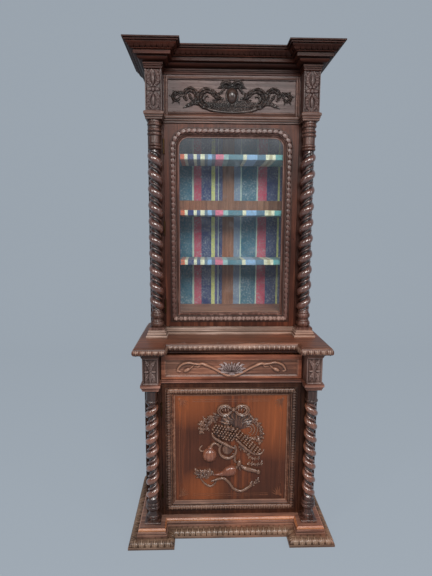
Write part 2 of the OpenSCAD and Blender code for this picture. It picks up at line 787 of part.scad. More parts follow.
module lower_door_bolt() {
    bolt(low_door_x, y_low, low_lock_z);
}

module upper_door_lock() {
    lock(up_door_x, y_up, up_lock_z, key_up);
}

module upper_door_bolt() {
    bolt(up_door_x, y_up, up_lock_z);
}

// Upper case
module upper_base() {
    rim = 40;
    color(oak) difference() {
        around(base_profile, up_x, up_in, y_up - upper_die, y_up, z_counter);
        box([-up_x + rim, y_up + rim, z_counter - eps], [up_x - rim, y_back - rim, z_base + eps]);
    }
}

module vitrine_floor() {
    y0 = y_up + post_t + 1;
    x = up_inner - fit;
    color(oak_red) {
        box([-x, y0, z_floor - board_t], [x, y_back - back_t - fit, z_floor]);
        box([-x, y0, z_base], [x, y0 + board_t, z_floor - board_t + eps]);
    }
}

module vitrine_ceiling() {
    x = up_inner - fit;
    color(oak_dark) box([-x, y_up + post_t + 1, z_arch], [x, y_back - back_t - fit, z_arch + board_t]);
}

module upper_side_left() {
    case_side(-1, up_x, y_up + post_t, z_base, z_corn, 55);
}

module upper_side_right() {
    case_side(1, up_x, y_up + post_t, z_base, z_corn, 55);
}

module upper_post(side) {
    sided(side) box([-up_x, y_up, z_base], [-up_open, y_up + post_t, z_corn]);
}

module upper_post_left() {
    color(oak_dark) difference() {
        upper_post(-1);
        leaf_mortises(-up_open, -1, y_up, up_hinge_z);
    }
}

module upper_post_right() {
    color(oak_dark) difference() {
        upper_post(1);
        bolt_mortise(up_open, y_up, up_lock_z);
    }
}

// The four panels of the vitrine's back: left and right, below and above the rail
back_bays_z = [[z_floor, mid_rail_z], [mid_rail_z + mid_rail_h, z_arch]];

module upper_back() {
    y0 = y_back - back_t;
    x = up_inner - fit;
    color(oak_red) {
        difference() {
            box([-x, y0, z_base], [x, y_back, lid_z - fit]);
            for (side = [-1, 1]) sided(side) for (b = back_bays_z)
                box([-back_stile_x, y0 - eps, b[0]], [-muntin_w / 2, y_back + eps, b[1]]);
        }
        for (side = [-1, 1]) sided(side) for (b = back_bays_z)
            box([-back_stile_x + fit, y0 + back_sink, b[0] + fit],
                [-muntin_w / 2 - fit, y0 + back_sink + back_panel_t, b[1] - fit]);
    }
}

module back_lining() {
    y1 = y_back - back_t + back_sink;
    color(cloth_c) for (side = [-1, 1]) sided(side) for (b = back_bays_z)
        box([-back_stile_x + fit, y1 - cloth_t, b[0] + fit], [-muntin_w / 2 - fit, y1, b[1] - fit]);
}

// Covered shelves
shelf_x = up_inner - 1;
shelf_y = [y_up + shelf_in, y_back - back_t - fit];

module shelf(z) {
    color(oak_raw) box([-shelf_x, shelf_y[0] + cloth_t, z + cloth_t],
        [shelf_x, shelf_y[1], z + cloth_t + shelf_t]);
}

module shelf_low() {
    shelf(shelf_z[0]);
}

module shelf_middle() {
    shelf(shelf_z[1]);
}

module shelf_high() {
    shelf(shelf_z[2]);
}

module shelf_covers() {
    color(cloth_c) for (z = shelf_z) difference() {
        box([-shelf_x, shelf_y[0], z], [shelf_x, shelf_y[1], z + shelf_t + 2 * cloth_t]);
        box([-shelf_x - eps, shelf_y[0] + cloth_t, z + cloth_t],
            [shelf_x + eps, shelf_y[1] + eps, z + cloth_t + shelf_t]);
    }
}

module shelf_cleats() {
    color(oak_raw) for (side = [-1, 1]) sided(side) {
        for (z = shelf_z) box([-up_inner, shelf_y[0] + 20, z - cleat],
            [-up_inner + cleat, shelf_y[1], z]);
        box([-low_inner, y_low + post_t + 40, plinth_h + cupboard_shelf - cleat],
            [-low_inner + cleat, y_back - back_t - fit, plinth_h + cupboard_shelf]);
    }
}

module upper_block_left() {
    color(oak_dark) block(-1, up_col, upper_die, z_frieze, z_corn);
}

module upper_block_right() {
    color(oak_dark) block(1, up_col, upper_die, z_frieze, z_corn);
}

module architrave() {
    yf = y_up - upper_die;
    open = up_open - fit;
    color(oak) moulded(architrave_profile, z_arch, function(p)
        [[-up_x - p, y_up], [-up_x - p, yf - p], [-up_in + p, yf - p], [-up_in + p, y_up - p],
        [up_in - p, y_up - p], [up_in - p, yf - p], [up_x + p, yf - p], [up_x + p, y_up],
        [open, y_up], [open, y_up + post_t], [-open, y_up + post_t], [-open, y_up]],
        [[0, 1, 2, 3, 11], [3, 4, 8, 11], [4, 5, 6, 7, 8], [8, 9, 10, 11]]);
}

// Frieze
frieze_sunk = 8;
frieze_stile = 24;

module frieze_panel() {
    color(oak_dark) difference() {
        box([-up_open + fit, y_up, z_frieze], [up_open - fit, y_up + post_t, z_corn]);
        box([-up_open + frieze_stile, y_up - eps, z_frieze - eps],
            [up_open - frieze_stile, y_up + frieze_sunk, z_corn - frieze_h * 0.15]);
    }
}

// Carving stands on the plane y = 0 and bulges to the front

// A half round bar of radius r bent to an arc, from the angle a0 to a1
module bent(c, radius, r, a0, a1) {
    translate([c[0], 0, c[1]]) rotate([90, 0, 0]) rotate([0, 0, a0])
        rotate_extrude(angle = a1 - a0, $fn = 48)
        polygon([for (t = [0:36:180]) [radius + r * cos(t), r * sin(t)]]);
}

// A straight half round bar that tapers from the radius ra at a to rb at b
module bar(a, b, ra, rb) {
    translate([a[0], 0, a[1]]) rotate([0, atan2(b[0] - a[0], b[1] - a[1]), 0])
        rotate([0, 0, 180]) rotate_extrude(angle = 180, $fn = 32)
        polygon([[0, 0], [ra, 0], [rb, norm(b - a)], [0, norm(b - a)]]);
}

// A half egg of half width r and half height h, turned by tilt
module dome(c, r, h, tilt = 0) {
    translate([c[0], 0, c[1]]) rotate([0, tilt, 0]) rotate([0, 0, 180])
        rotate_extrude(angle = 180, $fn = 32)
        polygon([for (a = [-90:22.5:90]) [r * cos(a), h * sin(a)]]);
}

// Frieze: a cabochon between volutes, with leafy scrolls out to both sides
module frieze_carving() {
    k = min((up_open - frieze_stile) / 315.5, frieze_h / 200);
    color(oak_dark) translate([0, y_up + frieze_sunk, z_frieze + 0.48 * frieze_h]) scale(k) {
        dome([0, -4], 20, 30);
        bent([0, -6], 38, 7, 0, 360);
        bent([0, 16], 84, 7, 232, 308);
        for (s = [-1, 1]) {
            bent([s * 18, 54.5], 11, 6, 0, 360);
            bent([s * 98, -4], 28, 9, 0, 360);
            dome([s * 98, -4], 11, 13);
            bent([s * 178, 20], 34, 7, 200, 340);
            for (t = [-1, 1]) dome([s * (179 + 13 * t), 28], 8, 18, s * 40 * t);
            bent([s * 244, 0], 18, 7, 0, 360);
            dome([s * 290, -4], 9, 19, s * 70);
        }
    }
}

// Door: a ribbon bow over a basket, with a gourd, a strap, a horn, twigs and ribbons
module lower_door_carving() {
    k = min((low_sight - lip) / 283.5, (z_ld1 - z_ld0) / 702);
    zc = (z_ld0 + z_ld1) / 2 + 6 * k;
    color(oak_red) translate([0, y_low + mould_drop, zc]) scale(k) {
        dome([0, 186], 14, 14);
        for (s = [-1, 1]) bent([s * 46, 190], 20, 8, 0, 360);
        for (i = [-3:3]) bar([36 + 9 * i, 62 - 8 * i], [-32 + 14 * i, 150 + 2 * i], 5.5, 6.5);
        bar([24, 69], [74, 24], 12, 12);
        bent([-84, 66], 50, 8, 85, 200);
        for (a = [100:35:170]) dome([-84 + 74 * cos(a), 66 + 74 * sin(a)], 7, 15, 90 - a);
        bent([40, 50], 70, 6, -35, 50);
        for (a = [-20:35:50]) dome([40 + 91 * cos(a), 50 + 91 * sin(a)], 7, 14, 90 - a);
        dome([-112, -14], 20, 30, 30);
        bar([-96, 16], [-80, 44], 9, 7);
        bent([-46, 0], 26, 7, 0, 360);
        bar([-96, -88], [-8, -52], 20, 9);
        bar([4, -66], [92, -60], 13, 13);
        bent([-112, -128], 30, 7, 75, 290);
        bent([-16, -100], 66, 8, 200, 330);
        bent([88, -128], 30, 8, 30, 200);
    }
}

// Cornice
module cornice_corner(side) {
    color(oak_dark) sided(side)
        corner(cornice_profile, up_x, up_in, y_up - upper_die, y_up, z_corn, up_inner, post_t);
}

module cornice_left() {
    cornice_corner(-1);
}

module cornice_right() {
    cornice_corner(1);
}

module cornice_front() {
    color(oak_dark) moulded(cornice_profile, z_corn, function(p)
        [[-up_in + p, y_up - p], [up_in - p, y_up - p], [up_in, y_up], [up_in, y_up + post_t],
        [-up_in, y_up + post_t], [-up_in, y_up]], [[0, 1, 2, 3, 4, 5]]);
}

module cornice_lid() {
    x = up_inner - fit;
    color(oak_raw) box([-x, y_up + post_t + fit, lid_z], [x, y_back - fit, lid_z + board_t]);
}

plinth_left();
plinth_right();
plinth_front();
lower_floor();
lower_side_left();
lower_side_right();
lower_post_left();
lower_post_right();
lower_back();
lower_shelf();
drawer_rail();
drawer_runners();
lower_block_left();
lower_block_right();
lower_column_left();
lower_column_right();
counter_top();
drawer_front();
drawer_box();
drawer_bottom();
lower_door_frame();
lower_door_moulding();
lower_door_panel();
lower_door_carving();
lower_door_hinges();
lower_door_lock();
lower_door_bolt();
case_hinge_leaves();
upper_base();
vitrine_floor();
vitrine_ceiling();
upper_side_left();
upper_side_right();
upper_post_left();
upper_post_right();
upper_back();
shelf_low();
shelf_middle();
shelf_high();
shelf_cleats();
back_lining();
shelf_covers();
upper_column_left();
upper_column_right();
upper_block_left();
upper_block_right();
architrave();
frieze_panel();
frieze_carving();
cornice_left();
cornice_right();
cornice_front();
cornice_lid();
upper_door_frame();
upper_door_moulding();
door_glass();
glass_beads();
upper_door_hinges();
upper_door_lock();
upper_door_bolt();
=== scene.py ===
# A two-part oak buffet: a glazed vitrine between twisted columns, standing on a cupboard with a
# carved door and a drawer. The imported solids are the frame, and each section dresses one group of
# pieces, from the floor up. Sizes are in millimetres; the front faces -Y.
from math import atan2, ceil, cos, dist, pi, radians, sin

import bmesh
import bpy
import numpy as np
from mathutils import Matrix, Vector


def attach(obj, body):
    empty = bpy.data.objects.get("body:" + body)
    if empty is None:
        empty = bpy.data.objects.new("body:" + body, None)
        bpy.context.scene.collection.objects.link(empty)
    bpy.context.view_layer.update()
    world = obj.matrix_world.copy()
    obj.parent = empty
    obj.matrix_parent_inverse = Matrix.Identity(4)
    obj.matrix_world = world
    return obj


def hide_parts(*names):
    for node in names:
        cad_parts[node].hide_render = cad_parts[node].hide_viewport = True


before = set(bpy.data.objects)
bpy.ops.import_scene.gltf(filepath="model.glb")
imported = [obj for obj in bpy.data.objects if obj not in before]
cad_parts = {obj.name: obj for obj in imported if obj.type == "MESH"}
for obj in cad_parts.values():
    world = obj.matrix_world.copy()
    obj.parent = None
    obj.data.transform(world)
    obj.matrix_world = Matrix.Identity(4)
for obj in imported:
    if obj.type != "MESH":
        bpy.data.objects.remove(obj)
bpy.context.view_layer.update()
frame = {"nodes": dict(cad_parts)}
nodes = frame["nodes"]

# Room: a pale blue-grey floor that sweeps up into a wall, under a sky that is dimmer in front.
# Three soft lamps stand in for windows, the main one high in front. The camera stands at about
# eye height, as the photograph's did.
METRE = 1000
scene = bpy.context.scene


def operator(operation, swapped=False):
    """One of Wire's operators, which adds a Math node."""
    def apply(wire, *others):
        values = (*others, wire) if swapped else (wire, *others)
        return wire.tree.node("ShaderNodeMath", {"operation": operation}, values)
    return apply


class Wire:
    """A socket of a node tree. A sum of wires becomes Math nodes."""

    def __init__(self, tree, socket):
        self.tree = tree
        self.socket = socket

    __add__ = __radd__ = operator("ADD")
    __mul__ = __rmul__ = operator("MULTIPLY")
    __sub__ = operator("SUBTRACT")
    __rsub__ = operator("SUBTRACT", swapped=True)
    __truediv__ = operator("DIVIDE")
    __pow__ = operator("POWER")
    __abs__ = operator("ABSOLUTE")
    at_least = operator("MAXIMUM")
    at_most = operator("MINIMUM")
    floor = operator("FLOOR")
    fraction = operator("FRACT")
    cosine = operator("COSINE")
    sine = operator("SINE")

    def between(self, low, high):
        """0 below low, 1 above high, and an even slope in between."""
        return self.tree.node("ShaderNodeMapRange", {"clamp": True}, {0: self, 1: low, 2: high})


class Tree:
    """A node tree: a material's, the sky's or a Geometry Nodes group."""

    def __init__(self, nodes):
        self.nodes = nodes

    def node(self, kind, settings=None, values=(), out=0):
        """A new node, given as the wire of one of its outputs."""
        made = self.nodes.nodes.new(kind)
        for name, value in (settings or {}).items():
            if name == "stops":
                ramp = made.color_ramp.elements
                while len(ramp) < len(value):
                    ramp.new(1)
                for stop, (place, shade) in zip(ramp, value):
                    stop.position = place
                    stop.color = shade
            elif name == "interpolation":
                made.color_ramp.interpolation = value
            else:
                setattr(made, name, value)
        pairs = values.items() if isinstance(values, dict) else enumerate(values)
        for key, value in pairs:
            if isinstance(value, Wire):
                self.nodes.links.new(value.socket, made.inputs[key])
            else:
                made.inputs[key].default_value = value
        return Wire(self, made.outputs[out]) if len(made.outputs) else made

    def mix(self, factor, a, b, mode="MIX"):
        return self.node("ShaderNodeMix", {"data_type": "RGBA", "blend_type": mode},
                         {0: factor, 6: a, 7: b}, out=2)

    def noise(self, place, scale, detail=2.0, rough=0.5, twist=0.0):
        return self.node("ShaderNodeTexNoise", {}, {
            "Vector": place, "Scale": scale, "Detail": detail, "Roughness": rough,
            "Distortion": twist})

    def place(self):
        """Where a point lies in the frame, in metres."""
        return self.node("ShaderNodeTexCoord", out="Object")

    def squeezed(self, place, scale):
        """A place for textures that run along an axis whose scale is small."""
        return self.node("ShaderNodeMapping", {"vector_type": "POINT"}, {
            "Vector": place, "Scale": scale})

    def part(self, vector, axis):
        return self.node("ShaderNodeSeparateXYZ", {}, [vector], out="XYZ".index(axis))

    def bump(self, height, strength, distance):
        return self.node("ShaderNodeBump", {}, {
            "Strength": strength, "Distance": distance, "Height": height})

    def blend(self, factor, first, second):
        return self.node("ShaderNodeMixShader", {}, {0: factor, 1: first, 2: second})

    def surface(self, shader):
        self.node("ShaderNodeOutputMaterial", {}, {"Surface": shader})

    def principled(self, settings):
        self.surface(self.node("ShaderNodeBsdfPrincipled", {}, settings))


def paint(code):
    """A colour as it is seen, such as #7a4326, turned into light."""
    parts = [int(code[i:i + 2], 16) / 255 for i in (1, 3, 5)]
    return tuple(((c + 0.055) / 1.055) ** 2.4 if c > 0.04 else c / 12.92 for c in parts) + (1.0,)


def material(name):
    made = bpy.data.materials.new(name)
    made.use_nodes = True
    made.node_tree.nodes.clear()
    return made, Tree(made.node_tree)


def placed(name, data):
    """A new object in the scene."""
    made = bpy.data.objects.new(name, data)
    scene.collection.objects.link(made)
    return made


SKY_GREY = paint("#a1abb5")


def background_rays(tree):
    """1 for the rays that see the room itself: the camera's, mirror ones and those through glass."""
    seen, mirrored, through = [
        tree.node("ShaderNodeLightPath", out=name)
        for name in ("Is Camera Ray", "Is Glossy Ray", "Is Transmission Ray")]
    return seen.at_least(mirrored).at_least(through)


def room_paint():
    """Matt paint that mirrors and the camera see at nearly its own brightness, so that the
    background stays even."""
    made, tree = material("room_paint")
    cloud = tree.noise(tree.place(), 2.0, 3.0)
    matt = tree.node("ShaderNodeBsdfDiffuse", {}, {
        "Color": tree.mix(cloud * 0.06, SKY_GREY, paint("#98a2ad"))})
    seen = tree.node("ShaderNodeEmission", {}, {"Color": SKY_GREY, "Strength": 1.0})
    tree.surface(tree.blend(background_rays(tree) * 0.82, matt, seen))
    return made


def sweep(name, profile, half_width):
    """A sheet as wide as twice half_width over a line seen from the side."""
    points = [(x, y, z) for y, z in profile for x in (-half_width, half_width)]
    faces = [(2 * i, 2 * i + 1, 2 * i + 3, 2 * i + 2) for i in range(len(profile) - 1)]
    mesh = bpy.data.meshes.new(name)
    mesh.from_pydata(points, [], faces)
    mesh.shade_smooth()
    return placed(name, mesh)


ROOM_FRONT, ROOM_HIGH, ROOM_HALF = -7.0, 7.0, 9.0
BEND_START, BEND = 3.0, 1.6
bend = [(BEND_START + BEND * sin(a), BEND - BEND * cos(a))
        for a in np.linspace(0, pi / 2, 17)]
room = sweep("room", [(ROOM_FRONT, 0.0)] + bend + [(BEND_START + BEND, ROOM_HIGH)], ROOM_HALF)
room.data.materials.append(room_paint())

world = bpy.data.worlds.new("sky")
world.use_nodes = True
world.node_tree.nodes.clear()
sky = Tree(world.node_tree)
soft_white = (0.94, 0.96, 1.0, 1.0)
sky_light = sky.node("ShaderNodeBackground", {}, {"Color": soft_white, "Strength": 0.38})
way = sky.node("ShaderNodeTexCoord", out="Generated")
behind = sky.part(way, "Y").between(-0.5, 0.2)
direct = sky.node("ShaderNodeLightPath", out="Is Camera Ray")
sky_seen = sky.node("ShaderNodeBackground", {}, {
    "Color": SKY_GREY, "Strength": direct.at_least(0.25 + 0.75 * behind)})
sky.node("ShaderNodeOutputWorld", {}, {
    "Surface": sky.blend(background_rays(sky), sky_light, sky_seen)})
scene.world = world
scene.view_settings.view_transform = "Standard"

LAMP_AIM = Vector((0, 0, 1.2))
for name, place, size, power, tint in (
        ("front_window", (0.3, -4.1, 3.75), (2.6, 1.6), 180, (1.0, 0.975, 0.95)),
        ("window_left", (-2.6, -2.6, 2.9), (0.8, 1.8), 36, (1.0, 0.97, 0.94)),
        ("window_right", (2.9, -2.2, 2.6), (0.8, 1.6), 24, (0.96, 0.97, 1.0))):
    lamp = bpy.data.lights.new(name, "AREA")
    lamp.shape = "RECTANGLE"
    lamp.size, lamp.size_y = size
    lamp.energy = power
    lamp.color = tint
    hung = placed(name, lamp)
    hung.location = place
    hung.rotation_euler = (LAMP_AIM - Vector(place)).to_track_quat("-Z", "Y").to_euler()

eye = Vector((-0.1400, -2.1666, 1.5471))
yaw, pitch, roll = (radians(a) for a in (1.702, 7.908, 0.248))
ahead = Vector((sin(yaw) * cos(pitch), cos(yaw) * cos(pitch),
                -sin(pitch)))
level = Vector((cos(yaw), -sin(yaw), 0))
over = level.cross(ahead)
right = cos(roll) * level + sin(roll) * over
top = cos(roll) * over - sin(roll) * level
lens = bpy.data.cameras.new("camera")
lens.sensor_fit = "VERTICAL"
lens.sensor_height = 36.0
lens.lens = 26.49
camera = placed("camera", lens)
camera.matrix_world = Matrix((
    (right.x, top.x, -ahead.x, eye.x), (right.y, top.y, -ahead.y, eye.y),
    (right.z, top.z, -ahead.z, eye.z), (0, 0, 0, 1)))
scene.camera = camera

# Plinth: a moulded oak foot that breaks forward under the two columns. Its corners are mitred
# blocks with side returns, and a row of carved leaves runs along its broad lower round.


def oak(name, shades, along="X", wear_and_painted_highlight=0.0, gloss=0.3, shine=0.45, hollow=0.9, dust=0.0, coat=0.0):
    """Waxed oak of a dark, a middle and a light shade, with its grain along one axis. Where the
    piece is carved, its hollows darken by the share hollow, as wax and dirt and as painted shade,
    and what stands proud lightens by the share for wear, as handling wear and a painted highlight.
    What faces up turns pale by the share dust, as dust and as a painted highlight from above. The
    coat is French polish."""
    made, tree = material(name + "_oak")
    dark, mid, light = map(paint, shades.split())
    place = tree.place()
    grain, pores = [
        tree.squeezed(place, tuple(slow if axis == along else 1.0 for axis in "XYZ"))
        for slow in (0.045, 0.09)]
    cloud = tree.noise(place, 5.0, 3.0, 0.55)
    figure = tree.noise(grain, 62.0, 4.0, 0.6, 0.4)
    streak = tree.noise(grain, 210.0, 3.0, 0.6)
    pore = tree.noise(pores, 640.0, 2.0, 0.5).between(0.62, 0.72)
    tone = figure.between(0.3, 0.7) * 0.5 + streak.between(0.3, 0.7) * 0.25 + cloud.between(
        0.3, 0.7) * 0.25
    shade = tree.mix(tone.between(0.0, 0.55), dark, mid)
    shade = tree.mix(tone.between(0.5, 1.0), shade, light)
    warm = tree.noise(place, 2.6, 2.0).between(0.5, 0.68)
    shade = tree.mix(warm * 0.4, shade, (0.80, 0.46, 0.30, 1.0), "OVERLAY")
    shade = tree.mix(pore * 0.55, shade, paint("#1c0f0a"))
    rough = gloss + 0.16 * cloud + 0.10 * streak
    height = 0.6 * figure + 0.3 * streak - 0.5 * pore
    if wear_and_painted_highlight:
        proud = tree.node("ShaderNodeAttribute", {"attribute_name": "proud"}, out="Fac")
        patch = proud + (cloud - 0.5) * 0.25
        # The hollows are darkened toward #150a07 by the share hollow: wax and dirt, and painted
        # shade.
        deep = (1 - patch.between(0.1, 0.45)) * hollow
        # What stands proud is lightened toward the light shade: handling wear, and a painted
        # highlight.
        crest = patch.between(0.55, 0.95) * wear_and_painted_highlight
        shade = tree.mix(deep, shade, paint("#150a07"))
        shade = tree.mix(crest * 0.6, shade, light)
        rough = rough + 0.2 * deep - 0.12 * crest
    # What faces up is painted paler toward #c4aca0: dust, and a painted highlight from light above.
    if dust:
        up = tree.part(tree.node("ShaderNodeNewGeometry", out="Normal"), "Z")
        dust_and_painted_highlight = up.between(0.12, 0.8) * cloud.between(0.15, 0.55) * dust
        shade = tree.mix(dust_and_painted_highlight, shade, paint("#c4aca0"))
    tree.principled({
        "Base Color": shade, "Roughness": rough, "Normal": tree.bump(height, 0.35, 0.0012),
        "Specular IOR Level": shine, "Coat Weight": coat, "Coat Roughness": 0.12})
    return made


def piece(name, mesh, body, replaces=()):
    """A visible piece of the furniture, which rides on a body."""
    made = placed(name, mesh)
    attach(made, body)
    if replaces:
        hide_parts(*replaces)
    return made


class Joinery:
    """Closed shells, in millimetres, that are glued into one piece. Each point keeps how far it
    stands proud of what is round it: 0 in a hollow, 1 on a crest. Each face keeps the number of
    its finish."""

    def __init__(self):
        self.points = []
        self.faces = []
        self.proud = []
        self.finishes = []

    def shell(self, points, faces, proud=0.5, finish=0):
        first = len(self.points)
        self.points.extend(tuple(map(float, p)) for p in points)
        self.faces.extend([first + int(i) for i in face] for face in faces)
        self.proud.extend(np.broadcast_to(proud, len(points)))
        self.finishes.extend([finish] * len(faces))

    def skin(self, rings, proud, closed=False, finish=0, top_finish=None):
        """A skin over rings of as many points each, with flat ends or closed into a loop."""
        count, size = len(rings), len(rings[0])
        faces = [(i * size + j, i * size + (j + 1) % size, (i + 1) % count * size + (j + 1) % size,
                  (i + 1) % count * size + j)
                 for i in range(count if closed else count - 1) for j in range(size)]
        points = [p for ring in rings for p in ring]
        if not closed:
            faces += [range(size), range((count - 1) * size, count * size)]
        self.shell(points, faces, np.repeat(proud, size), finish)
        if top_finish is not None:
            self.finishes[-1] = top_finish

    def mirrored(self):
        other = Joinery()
        other.points = [(-x, y, z) for x, y, z in self.points]
        other.faces, other.proud, other.finishes = self.faces, self.proud, self.finishes
        return other

    def make(self, name, body, slot, finishes, replaces=(), crease=34):
        mesh = bpy.data.meshes.new(name)
        mesh.from_pydata(np.array(self.points) / METRE, [], self.faces)
        for finish in finishes:
            mesh.materials.append(finish)
        mesh.polygons.foreach_set("material_index", self.finishes)
        mesh.attributes.new("proud", "FLOAT", "POINT").data.foreach_set("value", self.proud)
        solid = bmesh.new()
        solid.from_mesh(mesh)
        bmesh.ops.recalc_face_normals(solid, faces=solid.faces)
        solid.to_mesh(mesh)
        solid.free()
        mesh.shade_smooth()
        mesh.set_sharp_from_angle(angle=radians(crease))
        return piece(name, mesh, body, replaces)

    def make_pair(self, name, slot, finishes, replaced):
        """This piece on the left of the case and its mirror image on the right. In both names
        the braces stand for the side."""
        for job, side in ((self, "left"), (self.mirrored(), "right")):
            job.make(name.format(side), "case", slot, finishes, [replaced.format(side)])


def curve(a, b, kind, steps=9):
    """A quarter of a round or hollow between two points of a moulding's section."""
    turns = [pi / 2 * i / steps for i in range(steps + 1)]
    run, rise = b[0] - a[0], b[1] - a[1]
    if kind == "round":
        return [(a[0] + run * sin(t), a[1] + rise * (1 - cos(t))) for t in turns]
    if kind == "hollow":
        return [(a[0] + run * (1 - cos(t)), a[1] + rise * sin(t)) for t in turns]
    return [(b[0] - run * cos(t), a[1] + rise * sin(t)) for t in turns]


def sized(section, out, high):
    return [(p * out, q * high) for p, q in section]


def fine(section, step=2.5):
    """The section with points at least every step, so that its hollows can darken locally with
    dirt and painted shade.
    """
    found = [section[0]]
    for a, b in zip(section, section[1:]):
        count = max(1, ceil(dist(a, b) / step))
        found += [(a[0] + (b[0] - a[0]) * i / count, a[1] + (b[1] - a[1]) * i / count)
                  for i in range(1, count + 1)]
    return found


def stands_proud(section, reach=5.0):
    """How far each point of a rising section stands out from what lies within reach of it."""
    line = np.array(section)
    steps = np.hypot(*np.diff(line, axis=0).T)
    along = np.concatenate([[0], np.cumsum(steps)])
    spots = along[:, None] + np.linspace(-reach, reach, 9)
    spots = np.clip(spots, 0, along[-1])
    near = np.stack([np.interp(spots, along, line[:, i]) for i in (0, 1)], axis=2).mean(1)
    slope = np.gradient(line, along + np.arange(len(along)) * 1e-6, axis=0)
    slope /= np.linalg.norm(slope, axis=1)[:, None]
    offset = line - near
    out = offset[:, 0] * slope[:, 1] - offset[:, 1] * slope[:, 0]
    return np.clip(0.5 + out * 0.42, 0, 1)


def moulding(job, section, ring, base, finish=0, top_finish=None):
    """A moulding that rises from the height base, whose outline where it overhangs is ring."""
    line = fine(section)
    rings = [[(x, y, base + q) for x, y in ring(p)] for p, q in line]
    job.skin(rings, stands_proud(line), finish=finish, top_finish=top_finish)
    return job


def corner(outer, inner, front, plane, back, stop, thick=0):
    """A left corner from above: a block's front with a mitre, and a return along the side."""
    tail = ([(-inner, plane + thick)] if thick else []) + [(-stop, plane + thick), (-stop, back)]
    return lambda p: [(-outer - p, back), (-outer - p, front - p), (-inner + p, front - p),
                      (-inner + p, plane - p), (-inner, plane)] + tail


def front_run(inner, plane, stop=None):
    """The run between two corner blocks from above. It ends on the blocks, or on the posts at
    stop."""
    end = [(inner, plane)] + ([(stop, plane)] if stop else []) + [(stop or inner, plane + POST)]
    return lambda p: ([(-inner + p, plane - p), (inner - p, plane - p)] + end
                      + [(-x, y) for x, y in end[::-1]])


def break_front(outer, inner, front, plane, back):
    """A whole case from above, with a block at each front corner."""
    return lambda p: [(-outer - p, back), (-outer - p, front - p), (-inner + p, front - p),
                      (-inner + p, plane - p), (inner - p, plane - p), (inner - p, front - p),
                      (outer + p, front - p), (outer + p, back)]


def runs_of(ring, p, height, tilt, edges, trim):
    """The straight runs of a moulding's outline for a row of carving: each is its two ends and
    the way its face looks, tilted up from level."""
    found = []
    points = ring(p)
    up = radians(tilt)
    for i in edges:
        a, b = (np.array([*points[k % len(points)], height]) for k in (i, i + 1))
        way = (b - a) / np.linalg.norm(b - a)
        look = np.array([way[1] * cos(up), -way[0] * cos(up), sin(up)])
        if np.linalg.norm(b - a) > 2 * trim:
            found.append(([a + way * trim, b - way * trim], [look, look]))
    return found


def carved_leaf(name, wide, long, rise, ribs=3, foot=0.5, turn=0, bow=0.0):
    """One leaf of a carved row: a fan of ribs that spreads from its foot to a lobed tip. It is
    turned by some degrees on the row, and bowed to lie on a round."""
    way = (cos(radians(turn)), sin(radians(turn)))
    across, down = 2 * ribs + 1, 7
    points, proud = [], []
    for j in range(down):
        v = j / (down - 1)
        half = wide / 2 * (foot + (1 - foot) * sin(pi / 2 * min(1.0, 1.4 * v)))
        swell = sin(pi * (0.12 + 0.8 * v)) ** 0.7
        for i in range(across):
            u = 2 * i / (across - 1) - 1
            rib = i % 2
            reach = 1 - 0.3 * u * u - (0 if rib else 0.12)
            inside = 0 if i in (0, across - 1) or j in (0, down - 1) else 1
            high = inside * swell * (1.0 if rib else 0.42) * (1 - 0.3 * u * u)
            x, y = u * half, long * (v * reach - 0.5)
            points.append((x * way[0] - y * way[1], x * way[1] + y * way[0],
                           rise * high - bow * (2 * v - 1) ** 2))
            proud.append(0.22 + 0.78 * high)
    faces = [(j * across + i, j * across + i + 1, (j + 1) * across + i + 1, (j + 1) * across + i)
             for j in range(down - 1) for i in range(across - 1)]
    rim = ([i for i in range(across)] + [j * across + across - 1 for j in range(1, down)]
           + [(down - 1) * across + i for i in range(across - 2, -1, -1)]
           + [j * across for j in range(down - 2, 0, -1)])
    mesh = bpy.data.meshes.new(name)
    mesh.from_pydata(np.array(points) / METRE, [], faces + [rim[::-1]])
    mesh.attributes.new("proud", "FLOAT", "POINT").data.foreach_set("value", proud)
    mesh.shade_smooth()
    return bpy.data.objects.new(name, mesh)


def geometry_group(name, inputs, output):
    """A new Geometry Nodes group: itself, its tree, wires from its inputs and their labels."""
    group = bpy.data.node_groups.new(name, "GeometryNodeTree")
    sockets = [group.interface.new_socket(label, in_out="INPUT", socket_type="NodeSocket" + kind)
               for label, kind in inputs]
    group.interface.new_socket(output, in_out="OUTPUT", socket_type="NodeSocketGeometry")
    tree = Tree(group)
    wires = [tree.node("NodeGroupInput", out=i) for i in range(len(inputs))]
    return group, tree, wires, {s.name: s.identifier for s in sockets}


def grown(mesh, group, labels, values):
    """What a Geometry Nodes group makes of a mesh, as a plain mesh."""
    maker = placed("maker", mesh)
    modifier = maker.modifiers.new("grown", "NODES")
    modifier.node_group = group
    for label, value in values.items():
        modifier[labels[label]] = value
    done = maker.evaluated_get(bpy.context.evaluated_depsgraph_get())
    found = bpy.data.meshes.new_from_object(done)
    maker.modifiers.clear()
    bpy.data.objects.remove(maker)
    return found


